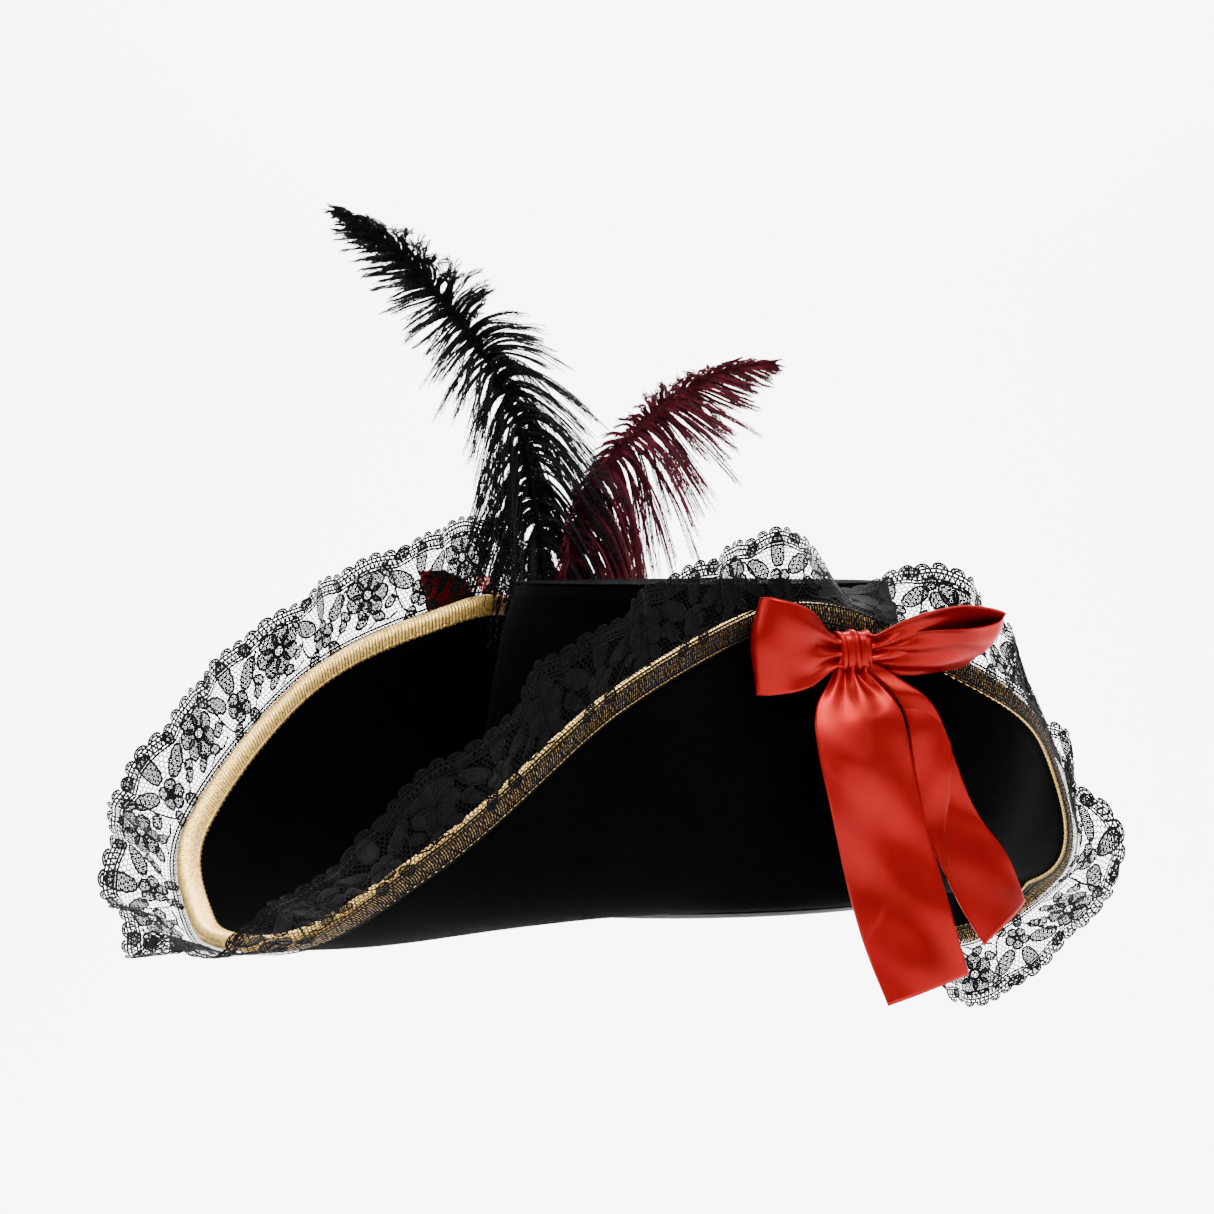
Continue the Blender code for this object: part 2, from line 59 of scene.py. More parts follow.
VIEW_AZIMUTH = 50.2
VIEW_ELEVATION = 5.8
VIEW_DISTANCE = 1.5
VIEW_LENS = 105.4
AIM_RIGHT = -0.0407
AIM_UP = 0.1165
FLOOR_DROP = 0.3
FLOOR_BEHIND_CAMERA = 4.0
FLOOR_AHEAD = 1.6
FLOOR_BEND = 0.8
FLOOR_BEND_STEPS = 12
FLOOR_HALF_WIDTH = 6.0
BACKDROP_HEIGHT = 4.0
WORLD_LEVELS = (-0.1, 0.9)
WORLD_STRENGTHS = (0.30, 3.0)
HAT_MIDDLE = (0.0, 0.0, 0.06)
BACKDROP_MIDDLE = (-1.9, 1.6, 0.5)
LIGHTS = (
    ("key_light", (1.5, -0.5, 1.6), 0.9, 70, HAT_MIDDLE),
    ("front_light", (0.1, -1.9, 0.7), 0.8, 22, HAT_MIDDLE),
    ("rim_light", (-1.5, 0.9, 1.3), 1.2, 24, HAT_MIDDLE),
    ("backdrop_light", (-0.6, 0.5, 1.9), 1.6, 320, BACKDROP_MIDDLE),
)


def add_camera():
    """Camera at the viewing angle of the photograph."""
    a, e = math.radians(VIEW_AZIMUTH), math.radians(VIEW_ELEVATION)
    back = Vector((math.sin(a) * math.cos(e), -math.cos(a) * math.cos(e), math.sin(e)))
    right = Vector((math.cos(a), math.sin(a), 0.0))
    up = back.cross(right)
    camera = bpy.data.objects.new("camera", bpy.data.cameras.new("camera"))
    bpy.context.scene.collection.objects.link(camera)
    camera.data.lens = VIEW_LENS
    camera.location = back * VIEW_DISTANCE
    aim = right * AIM_RIGHT + up * AIM_UP
    camera.rotation_euler = (camera.location - aim).to_track_quat("Z", "Y").to_euler()
    bpy.context.scene.camera = camera


def add_area_light(name, place, size, power, aim):
    """Soft square light that faces a point."""
    lamp = bpy.data.lights.new(name, "AREA")
    lamp.size = size
    lamp.energy = power
    light = bpy.data.objects.new(name, lamp)
    light.location = place
    light.rotation_euler = (Vector(place) - Vector(aim)).to_track_quat("Z", "Y").to_euler()
    bpy.context.scene.collection.objects.link(light)


def add_floor():
    """Pale floor that curves up into a backdrop."""
    low = cad_low.z - FLOOR_DROP
    profile = [(-FLOOR_BEHIND_CAMERA, 0.0), (FLOOR_AHEAD, 0.0)]
    for i in range(1, FLOOR_BEND_STEPS + 1):
        angle = math.pi / 2 * i / FLOOR_BEND_STEPS
        forward = FLOOR_AHEAD + FLOOR_BEND * math.sin(angle)
        profile.append((forward, FLOOR_BEND - FLOOR_BEND * math.cos(angle)))
    profile.append((FLOOR_AHEAD + FLOOR_BEND, BACKDROP_HEIGHT))
    a = math.radians(VIEW_AZIMUTH)
    away = Vector((-math.sin(a), math.cos(a), 0))
    side = Vector((math.cos(a), math.sin(a), 0))
    points = []
    faces = []
    for forward, up in profile:
        for across in (-FLOOR_HALF_WIDTH, FLOOR_HALF_WIDTH):
            points.append(away * forward + side * across + Vector((0, 0, low + up)))
    for i in range(len(profile) - 1):
        faces.append((2 * i, 2 * i + 1, 2 * i + 3, 2 * i + 2))
    mesh = bpy.data.meshes.new("floor")
    mesh.from_pydata(points, [], faces)
    mesh.shade_smooth()
    floor = bpy.data.objects.new("floor", mesh)
    bpy.context.scene.collection.objects.link(floor)
    paper = bpy.data.materials.new("floor_paper")
    paper.use_nodes = True
    shader = paper.node_tree.nodes["Principled BSDF"]
    shader.inputs["Base Color"].default_value = (0.97, 0.97, 0.97, 1)
    shader.inputs["Roughness"].default_value = 0.9
    mesh.materials.append(paper)


def add_world():
    """White surroundings, brighter overhead than at the sides."""
    world = bpy.data.worlds.new("studio")
    bpy.context.scene.world = world
    world.use_nodes = True
    nodes, links = world.node_tree.nodes, world.node_tree.links
    place = nodes.new("ShaderNodeTexCoord")
    split = nodes.new("ShaderNodeSeparateXYZ")
    rise = nodes.new("ShaderNodeMapRange")
    for k, end in enumerate(("Min", "Max")):
        rise.inputs["From " + end].default_value = WORLD_LEVELS[k]
        rise.inputs["To " + end].default_value = WORLD_STRENGTHS[k]
    links.new(place.outputs["Generated"], split.inputs["Vector"])
    links.new(split.outputs["Z"], rise.inputs["Value"])
    links.new(rise.outputs["Result"], nodes["Background"].inputs["Strength"])
    nodes["Background"].inputs["Color"].default_value = (1, 1, 1, 1)


# ---------------------------------------------------------------- materials

class Shader:
    """Small helper that builds one Principled material node by node."""

    def __init__(self, name, colour, roughness, metallic=0.0):
        self.material = bpy.data.materials.new(name)
        self.material.use_nodes = True
        self.nodes = self.material.node_tree.nodes
        self.links = self.material.node_tree.links
        self.main = self.nodes["Principled BSDF"]
        self.set("Base Color", (*colour, 1.0))
        self.set("Roughness", roughness)
        self.set("Metallic", metallic)

    def set(self, socket, value):
        """Give a socket of the main shader a plain value."""
        self.main.inputs[socket].default_value = value

    def node(self, kind, **values):
        """Add a node and set its inputs by name."""
        made = self.nodes.new(kind)
        for key, value in values.items():
            made.inputs[key.replace("_", " ")].default_value = value
        return made

    def place(self, kind="Object"):
        """Coordinates that stay with the surface."""
        return self.nodes.new("ShaderNodeTexCoord").outputs[kind]

    def noise(self, scale, detail=3.0, source=None, stretch=None):
        """Noise pattern, optionally stretched along one axis."""
        made = self.node("ShaderNodeTexNoise", Scale=scale, Detail=detail)
        start = source or self.place()
        if stretch:
            mapping = self.node("ShaderNodeMapping", Scale=stretch)
            self.links.new(start, mapping.inputs["Vector"])
            start = mapping.outputs["Vector"]
        self.links.new(start, made.inputs["Vector"])
        return made.outputs["Fac"]

    def stripes(self, scale, source, axis="X", distortion=0.0):
        """Straight stripes along one axis of the given coordinates."""
        made = self.node("ShaderNodeTexWave", Scale=scale, Distortion=distortion)
        made.bands_direction = axis
        self.links.new(source, made.inputs["Vector"])
        return made.outputs["Fac"]

    def mix_colour(self, factor, low, high, start=0.3, end=0.7):
        """Drive the base colour between two colours by a pattern."""
        ramp = self.nodes.new("ShaderNodeValToRGB")
        ramp.color_ramp.elements[0].position = start
        ramp.color_ramp.elements[0].color = (*low, 1)
        ramp.color_ramp.elements[1].position = end
        ramp.color_ramp.elements[1].color = (*high, 1)
        self.links.new(factor, ramp.inputs["Fac"])
        self.links.new(ramp.outputs["Color"], self.main.inputs["Base Color"])

    def vary_roughness(self, factor, low, high):
        """Drive the roughness between two values by a pattern."""
        made = self.nodes.new("ShaderNodeMapRange")
        made.inputs["To Min"].default_value = low
        made.inputs["To Max"].default_value = high
        self.links.new(factor, made.inputs["Value"])
        self.links.new(made.outputs["Result"], self.main.inputs["Roughness"])

    def bump(self, height, strength, distance):
        """Relief from a pattern, on top of any relief already there."""
        made = self.node("ShaderNodeBump", Strength=strength, Distance=distance)
        self.links.new(height, made.inputs["Height"])
        normal = self.main.inputs["Normal"]
        if normal.is_linked:
            self.links.new(normal.links[0].from_socket, made.inputs["Normal"])
        self.links.new(made.outputs["Normal"], normal)


def velvet_material(name):
    """Black velvet: a short pile that catches light at grazing angles."""
    made = Shader(name, (0.0004, 0.0004, 0.0005), 0.95)
    made.set("Specular IOR Level", 0.01)
    made.set("Sheen Weight", 0.005)
    made.set("Sheen Roughness", 0.3)
    made.set("Sheen Tint", (0.30, 0.30, 0.34, 1))
    made.mix_colour(made.noise(28, 4), (0.0002, 0.0002, 0.0002), (0.0006, 0.0006, 0.0007))
    made.bump(made.noise(2600, 2), 0.5, 0.0003)
    made.bump(made.noise(90, 3), 0.25, 0.0006)
    return made.material


def braid_material(name, low, high):
    """Gold metallic thread between a dull and a bright colour."""
    made = Shader(name, high, 0.36, 0.9)
    made.set("Specular IOR Level", 0.6)
    made.mix_colour(made.noise(900, 3), low, high, 0.30, 0.62)
    made.vary_roughness(made.noise(350, 2), 0.26, 0.50)
    made.bump(made.noise(4200, 2), 0.45, 0.0002)
    return made.material


def thread_material(name, colour, roughness, sheen):
    """Black lace thread with a faint sheen."""
    made = Shader(name, colour, roughness)
    made.set("Specular IOR Level", 0.03)
    made.set("Sheen Weight", sheen)
    made.set("Sheen Tint", (0.3, 0.3, 0.32, 1))
    lighter = tuple(min(1.0, c * 1.9) for c in colour)
    made.mix_colour(made.noise(700, 3), tuple(c * 0.6 for c in colour), lighter)
    made.bump(made.noise(3000, 2), 0.4, 0.0002)
    return made.material


def satin_material():
    """Red satin ribbon: long glossy floats across a fine weave, with its lines along the ribbon."""
    made = Shader("red_satin", (0.15, 0.0018, 0.0032), 0.30, 0.55)
    made.set("Specular IOR Level", 0.9)
    made.set("Specular Tint", (1.0, 0.12, 0.07, 1))
    made.set("Anisotropic", 0.55)
    strip = made.place("UV")
    made.mix_colour(made.noise(26, 4, strip), (0.110, 0.0012, 0.0024), (0.185, 0.0026, 0.0046))
    made.vary_roughness(made.noise(14, 3, strip, (1, 12, 1)), 0.26, 0.38)
    made.bump(made.stripes(600, strip, "Y"), 0.10, 0.00006)
    made.bump(made.noise(240, 2, strip, (1, 10, 1)), 0.18, 0.00012)
    return made.material


def plume_material(name, colour):
    """Dyed ostrich barbs with slight variation from barb to barb."""
    made = Shader(name, colour, 0.55)
    made.set("Specular IOR Level", 0.06)
    made.set("Sheen Weight", 0.012)
    made.set("Sheen Roughness", 0.5)
    made.set("Sheen Tint", (*(min(1.0, c * 6 + 0.1) for c in colour), 1))
    made.mix_colour(made.noise(160, 3), tuple(c * 0.55 for c in colour), tuple(c * 1.7 for c in colour))
    return made.material


def quill_material(name, colour):
    """Horn-like quill with faint lengthwise grain."""
    made = Shader(name, colour, 0.6)
    made.set("Specular IOR Level", 0.05)
    made.mix_colour(made.noise(220, 3, None, (1, 1, 0.1)), tuple(c * 0.6 for c in colour), colour)
    made.bump(made.noise(900, 2, None, (1, 1, 0.08)), 0.3, 0.0002)
    return made.material


def woven_material(name, colour, roughness, pitch, sheen=0.15):
    """Plain woven cloth with threads a given pitch apart."""
    made = Shader(name, colour, roughness)
    made.set("Sheen Weight", sheen)
    cloth = made.place("UV")
    made.mix_colour(made.noise(60, 3), tuple(c * 0.7 for c in colour), tuple(c * 1.35 for c in colour))
    made.bump(made.stripes(1 / pitch, cloth, "X"), 0.35, 0.0001)
    made.bump(made.stripes(1 / pitch, cloth, "Y"), 0.35, 0.0001)
    return made.material


def felt_material(name, colour):
    """Pressed felt or buckram with loose fibres."""
    made = Shader(name, colour, 0.95)
    made.set("Sheen Weight", 0.2)
    made.mix_colour(made.noise(300, 5), tuple(c * 0.6 for c in colour), tuple(c * 1.6 for c in colour))
    made.bump(made.noise(1500, 4), 0.6, 0.0005)
    return made.material


# ---------------------------------------------------------------- mesh helpers

def face_outward(mesh):
    """Turn every face of a closed mesh outward."""
    shape = bmesh.new()
    shape.from_mesh(mesh)
    bmesh.ops.recalc_face_normals(shape, faces=shape.faces)
    shape.to_mesh(mesh)
    shape.free()


def make_piece(
    name, points, faces, materials, body="root", replaced=(), uv=None, index=None, smooth=True, closed=False
):
    """Add one mesh piece that rides on a body and stands for the CAD nodes it replaces."""
    mesh = bpy.data.meshes.new(name)
    mesh.from_pydata(np.asarray(points, float).tolist(), [], faces)
    for finish in materials:
        mesh.materials.append(finish)
    if index is not None:
        mesh.polygons.foreach_set("material_index", np.asarray(index, np.int32))
    if uv is not None:
        layer = mesh.uv_layers.new(name="Strip")
        corners = np.zeros(len(mesh.loops), np.int32)
        mesh.loops.foreach_get("vertex_index", corners)
        layer.data.foreach_set("uv", np.asarray(uv, float)[corners].ravel())
    mesh.validate()
    mesh.update()
    if closed:
        face_outward(mesh)
    if smooth:
        mesh.shade_smooth()
    piece = bpy.data.objects.new(name, mesh)
    bpy.context.scene.collection.objects.link(piece)
    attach(piece, body)
    if replaced:
        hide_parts(*replaced)
    return piece


def grid_faces(rows, columns, close_rows=False, close_columns=False, start=0):
    """Quads over a grid of points stored row by row."""
    i = np.arange(rows if close_rows else rows - 1)
    j = np.arange(columns if close_columns else columns - 1)
    i, j = np.meshgrid(i, j, indexing="ij")
    here, there = i * columns, ((i + 1) % rows) * columns
    k = (j + 1) % columns
    quads = np.stack([here + j, there + j, there + k, here + k], axis=-1)
    return (quads.reshape(-1, 4) + start).tolist()


def bend_between(start, end, start_slope, end_slope, width, u):
    """Cubic from one value to the next, with a slope at each end."""
    leaving = start * (2 * u**3 - 3 * u**2 + 1) + start_slope * width * (u**3 - 2 * u**2 + u)
    arriving = end * (3 * u**2 - 2 * u**3) + end_slope * width * (u**3 - u**2)
    return leaving + arriving


def smooth_curve(stations, values, at):
    """Read a smooth curve through stations, level at both ends."""
    stations = np.asarray(stations, float)
    values = np.asarray(values, float)
    at = np.asarray(at, float)
    slopes = np.zeros(len(values))
    slopes[1:-1] = (values[2:] - values[:-2]) / (stations[2:] - stations[:-2])
    k = np.clip(np.searchsorted(stations, at) - 1, 0, len(stations) - 2)
    width = stations[k + 1] - stations[k]
    u = (at - stations[k]) / width
    return bend_between(values[k], values[k + 1], slopes[k], slopes[k + 1], width, u)


def through_points(points, count):
    """Smooth line through points, with count points spaced evenly between them."""
    points = np.asarray(points, float)
    gaps = np.linalg.norm(np.diff(points[:, :3], axis=0), axis=1)
    at = np.r_[0, np.cumsum(gaps)]
    slopes = np.zeros_like(points)
    slopes[1:-1] = (points[2:] - points[:-2]) / (at[2:] - at[:-2])[:, None]
    slopes[0] = (points[1] - points[0]) / gaps[0]
    slopes[-1] = (points[-1] - points[-2]) / gaps[-1]
    s = np.linspace(0, at[-1], count)
    k = np.clip(np.searchsorted(at, s) - 1, 0, len(points) - 2)
    width = (at[k + 1] - at[k])[:, None]
    u = (s - at[k])[:, None] / width
    return bend_between(points[k], points[k + 1], slopes[k], slopes[k + 1], width, u), s


def unit(vectors):
    """Vectors scaled to length one."""
    vectors = np.asarray(vectors, float)
    return vectors / np.maximum(np.linalg.norm(vectors, axis=-1, keepdims=True), 1e-12)


# ---------------------------------------------------------------- the brim's shape, as in the part's source

CROWN_HALF_LENGTH = 0.103
CROWN_HALF_WIDTH = 0.087
CROWN_HEIGHT = 0.127
CROWN_BOTTOM = -0.003
CROWN_LEVELS = (0.0, 0.35, 0.65, 0.85, 1.0)
CROWN_SCALES = (1.0, 0.965, 0.91, 0.86, 0.80)
VELVET = 0.0008
CROWN_STIFFENER = 0.0015
LINING = 0.0005
SWEATBAND = 0.001
SWEATBAND_HEIGHT = 0.026
SWEATBAND_DROP = 0.002
GAP = 0.0003
RIM_ANGLES = (0, 10, 22, 38, 58, 80, 105, 130, 155, 180)
RIM_RADII = (0.238, 0.231, 0.219, 0.167, 0.116, 0.112, 0.138, 0.144, 0.160, 0.146)
RIM_HEIGHTS_LEFT = (-0.007, -0.001, 0.030, 0.088, 0.116, 0.118, 0.091, 0.059, 0.002, -0.035)
RIM_HEIGHTS_RIGHT = (-0.007, -0.001, 0.030, 0.088, 0.116, 0.118, 0.096, 0.040, -0.012, -0.035)
BRIM_START_GAP = 0.001
BRIM_STIFFENER = 0.002
TROUGH_DEPTH = -0.016
TROUGH_END = 58.0
REACH_ANGLES = (0, 58, 120, 180)
REACHES = (0.5, 0.9, 0.9, 0.75)
STACK_EDGE = 0.0042
BINDING_WIDTH = 0.009
BINDING_THICKNESS = 0.0006
LACE_REACH = 0.031
LACE_THICKNESS = 0.0006


def brim_profile(degrees):
    """Distances and heights of the three control points of the brim's section at each angle."""
    turned = (np.asarray(degrees, float) + 180.0) % 360.0 - 180.0
    around = np.abs(turned)
    angle = np.radians(around)
    start = 1 / np.hypot(np.sin(angle) / CROWN_HALF_WIDTH, np.cos(angle) / CROWN_HALF_LENGTH)
    start = start + BRIM_START_GAP
    rim = smooth_curve(RIM_ANGLES, RIM_RADII, around)
    left = smooth_curve(RIM_ANGLES, RIM_HEIGHTS_LEFT, around)
    right = smooth_curve(RIM_ANGLES, RIM_HEIGHTS_RIGHT, around)
    height = np.where(turned >= 0, left, right)
    reach = smooth_curve(REACH_ANGLES, REACHES, around)
    sink = smooth_curve((0, TROUGH_END, 180), (TROUGH_DEPTH, 0, 0), around)
    sink = np.where(around > TROUGH_END, 0.0, sink)
    return start, start + reach * (rim - start), sink, rim, height


def brim_position(degrees, along):
    """Points of the brim's middle surface: along is 0 at the crown and 1 at the rim."""
    start, middle, sink, rim, height = brim_profile(degrees)
    out = (1 - along) ** 2 * start + 2 * along * (1 - along) * middle + along**2 * rim
    up = 2 * along * (1 - along) * sink + along**2 * height
    angle = np.radians(degrees)
    return np.stack([out * np.sin(angle), -out * np.cos(angle), up], axis=-1)


def brim_frame(degrees, along):
    """Position, outward direction and upper-side normal of the brim."""
    place = brim_position(degrees, along)
    outward = brim_position(degrees, along + 0.01) - brim_position(degrees, along - 0.01)
    onward = brim_position(degrees + 0.5, along) - brim_position(degrees - 0.5, along)
    return place, unit(outward), unit(np.cross(outward, onward))


def inset_to_along(degrees, inset):
    """Turn a distance inward from the rim into the brim's along value."""
    start, middle, sink, rim, height = brim_profile(degrees)
    return 1.0 - inset / (2 * np.hypot(rim - middle, height - sink))


def rim_point(degrees, inset, lift):
    """Points near the rim: inset is measured inward, and lift to the upper side."""
    degrees, inset, lift = np.broadcast_arrays(np.asarray(degrees, float), inset, lift)
    along = np.where(inset > 0, inset_to_along(degrees, np.maximum(inset, 0)), 1.0)
    place, outward, normal = brim_frame(degrees, along)
    return place - outward * np.minimum(inset, 0)[..., None] + normal * lift[..., None]


def even_angles(count):
    """Angles, in degrees, at even distances along the rim, and the rim's length."""
    fine = np.linspace(0, 360, 7201)
    line = rim_point(fine, 0.0, 0.0)
    run = np.r_[0, np.cumsum(np.linalg.norm(np.diff(line, axis=0), axis=1))]
    return np.interp(np.arange(count) / count * run[-1], run, fine), run[-1]


# ---------------------------------------------------------------- crown and brim

BRIM_AROUND = 300
BRIM_ROWS = 26
CROWN_AROUND = 160
CROWN_ROWS = 28
DISC_RINGS = 14
TOP_DOME = 0.001
SEAM_TUCK = 0.0014


def cloth_area(piece):
    """Half of a closed thin piece's surface: the area of its cloth."""
    return sum(p.area for p in piece.data.polygons) / 2


def brim_layer(name, lift, thickness, finish):
    """One closed layer of the brim, between its two faces."""
    degrees = np.linspace(0, 360, BRIM_AROUND, endpoint=False)
    start, middle, sink, rim, height = brim_profile(degrees)
    first = -SEAM_TUCK / (2 * np.hypot(middle - start, sink))
    last = inset_to_along(degrees, STACK_EDGE)
    share = np.linspace(0, 1, BRIM_ROWS)
    angles = np.repeat(degrees[:, None], BRIM_ROWS, axis=1)
    along = first[:, None] * (1 - share) + last[:, None] * share
    place, outward, normal = brim_frame(angles, along)
    top = place + normal * (lift + thickness / 2)
    bottom = place + normal * (lift - thickness / 2)
    ring = np.concatenate([top, bottom[:, ::-1]], axis=1)
    faces = grid_faces(BRIM_AROUND, 2 * BRIM_ROWS, True, True)
    arc = np.repeat(degrees[:, None] / 360, 2 * BRIM_ROWS, axis=1)
    across = np.concatenate([share, share[::-1]])[None, :] * 0.12 * np.ones_like(arc)
    uv = np.stack([arc, across], axis=-1).reshape(-1, 2)
    return make_piece(name + "_cloth", ring.reshape(-1, 3), faces, [finish], "root", [name], uv, closed=True)


def crown_scale(height):
    """How much narrower the crown is than its base, at a height."""
    share = np.clip(np.asarray(height, float) / CROWN_HEIGHT, 0, 1)
    return np.interp(share, CROWN_LEVELS, CROWN_SCALES)


def crown_wall(name, bottom, top, outer, inner, finish):
    """Upright oval wall between two depths inside the crown's outside."""
    angle = np.linspace(0, 2 * math.pi, CROWN_AROUND, endpoint=False)[:, None]
    levels = np.linspace(bottom, top, CROWN_ROWS)[None, :]
    scale = crown_scale(levels)
    sides = []
    for depth in (outer, inner):
        x = (CROWN_HALF_WIDTH * scale - depth) * np.sin(angle)
        y = -(CROWN_HALF_LENGTH * scale - depth) * np.cos(angle)
        sides.append(np.stack([x, y, levels + 0 * x], axis=-1))
    ring = np.concatenate([sides[0], sides[1][:, ::-1]], axis=1)
    arc = np.repeat(angle / (2 * math.pi) * 0.6, 2 * CROWN_ROWS, axis=1)
    rise = np.concatenate([levels[0], levels[0][::-1]])[None, :] + 0 * arc
    uv = np.stack([arc, rise], axis=-1).reshape(-1, 2)
    faces = grid_faces(CROWN_AROUND, 2 * CROWN_ROWS, True, True)
    return make_piece(name + "_cloth", ring.reshape(-1, 3), faces, [finish], "root", [name], uv, closed=True)


def crown_disc(name, bottom, thickness, depth, finish):
    """Oval disc of the crown's top, very slightly domed."""
    scale = float(crown_scale(bottom))
    angle = np.linspace(0, 2 * math.pi, CROWN_AROUND, endpoint=False)[:, None]
    share = np.linspace(1 / DISC_RINGS, 1, DISC_RINGS)
    share = np.concatenate([share, share[::-1]])[None, :]
    level = bottom + TOP_DOME * (1 - share**2)
    level[0, DISC_RINGS:] += thickness
    x = (CROWN_HALF_WIDTH * scale - depth) * share * np.sin(angle)
    y = -(CROWN_HALF_LENGTH * scale - depth) * share * np.cos(angle)
    points = np.stack([x, y, level + 0 * x], axis=-1).reshape(-1, 3)
    across = 2 * DISC_RINGS
    faces = grid_faces(CROWN_AROUND, across, True, False)
    low, high = len(points), len(points) + 1
    for i in range(CROWN_AROUND):
        here, there = i * across, ((i + 1) % CROWN_AROUND) * across
        faces.append((here, there, low))
        faces.append((there + across - 1, here + across - 1, high))
    middle = [[0, 0, bottom + TOP_DOME], [0, 0, bottom + thickness + TOP_DOME]]
    points = np.vstack([points, middle])
    return make_piece(
        name + "_cloth", points, faces, [finish], "root", [name], points[:, :2], closed=True
    )


def add_crown():
    """Velvet, stiffener, lining and sweatband of the crown."""
    velvet = velvet_material("black_velvet")
    felt = felt_material("buckram", (0.02, 0.02, 0.022))
    cloths = {
        "velvet": velvet,
        "felt": felt,
        "lining": woven_material("lining_cloth", (0.012, 0.012, 0.014), 0.45, 0.0005),
        "sweatband": woven_material("sweatband_cloth", (0.03, 0.03, 0.032), 0.7, 0.0016),
    }
    stiff = VELVET + GAP
    lined = stiff + CROWN_STIFFENER + GAP
    banded = lined + LINING + GAP
    side_top = CROWN_HEIGHT - VELVET - GAP
    stiff_top = side_top - CROWN_STIFFENER - 2 * GAP
    lining_top = stiff_top - LINING - 3 * GAP
    seam = CROWN_BOTTOM
    band_seam = CROWN_BOTTOM - SWEATBAND_DROP
    walls = (
        ("crown_side_velvet", seam, side_top, 0.0, VELVET, "velvet", "crown_side_stiffener"),
        ("crown_side_stiffener", seam, stiff_top, stiff, CROWN_STIFFENER, "felt", "crown_side_lining"),
        ("crown_side_lining", seam, lining_top, lined, LINING, "lining", "crown_side_stiffener"),
        ("sweatband", band_seam, SWEATBAND_HEIGHT, banded, SWEATBAND, "sweatband", "crown_side_lining"),
    )
    for name, bottom, top, outer, thickness, slot, under in walls:
        wall = crown_wall(name, bottom, top, outer, outer + thickness, cloths[slot])
    discs = (
        ("crown_top_velvet", side_top, VELVET, 0.0, "velvet", "crown_top_stiffener"),
        ("crown_top_stiffener", stiff_top, CROWN_STIFFENER, VELVET + 2 * GAP, "felt", "crown_side_stiffener"),
        ("crown_top_lining", lining_top, LINING, lined + LINING / 2, "lining", "crown_side_lining"),
    )
    for name, seam, thickness, depth, slot, under in discs:
        disc = crown_disc(name, seam + GAP, thickness, depth, cloths[slot])
    return velvet, felt


def brim_cut():
    """Width and length of the flat cut that a brim layer is pressed from."""
    degrees = np.array([0.0, 90.0, 180.0, 270.0])
    lines = brim_position(degrees[:, None], np.linspace(0, 1, BRIM_ROWS)[None, :])
    run = np.linalg.norm(np.diff(lines, axis=1), axis=-1).sum(axis=1)
    front, left, back, right = brim_profile(degrees)[0] + run
    return left + right, front + back


def add_brim(velvet, felt):
    """Stiffener of the brim and the velvet on each side of it."""
    high = BRIM_STIFFENER / 2 + GAP + VELVET / 2
    layers = (
        ("brim_stiffener", 0.0, BRIM_STIFFENER, felt, "felt", "crown_side_velvet"),
        ("brim_upper_velvet", high, VELVET, velvet, "velvet", "brim_stiffener"),
        ("brim_under_velvet", -high, VELVET, velvet, "velvet", "brim_stiffener"),
    )
    for name, lift, thickness, finish, slot, under in layers:
        layer = brim_layer(name, lift, thickness, finish)
        brim_cut()


# ---------------------------------------------------------------- gold braid

BRAID_RIB = 0.0017
BRAID_RIB_HEIGHT = 0.00032
BRAID_SAMPLES = 4
BRAID_EDGE_WAVE = 0.00025
BRAID_FACE = ((BINDING_WIDTH, 0.6), (0.0082, 1.0), (0.0066, 1.0), (STACK_EDGE, 1.0))
FOLD_ROUNDING = 0.8
STITCH_PITCH = 0.0042
STITCH_LENGTH = 0.0028
STITCH_INSET = 0.0078
STITCH_RADIUS = 0.00022
STITCH_PROFILE = ((-1.0, 0.3), (-0.6, 0.9), (0.0, 1.0), (0.6, 0.9), (1.0, 0.3))
STITCH_SIDES = 6
STACK = BRIM_STIFFENER / 2 + GAP + VELVET + GAP


def braid_section():
    """Inset, lift and rib share of the braid's section: round the rim outside, then back inside."""
    outer = STACK + BINDING_THICKNESS
    path = [(inset, outer, rib) for inset, rib in BRAID_FACE]
    for k in range(1, 8):
        turn = math.pi * k / 8
        path.append((STACK_EDGE * (1 - math.sin(turn) ** FOLD_ROUNDING), outer * math.cos(turn), 1.0))
    path += [(inset, -outer, rib) for inset, rib in reversed(BRAID_FACE)]
    inner = STACK_EDGE - BINDING_THICKNESS
    path += [(BINDING_WIDTH, -STACK, 0.0), (STACK_EDGE, -STACK, 0.0)]
    for k in range(5, 0, -1):
        turn = math.pi * k / 6
        path.append((STACK_EDGE - inner * math.sin(turn) ** FOLD_ROUNDING, STACK * math.cos(turn), 0.0))
    path += [(STACK_EDGE, STACK, 0.0), (BINDING_WIDTH, STACK, 0.0)]
    return np.array(path)


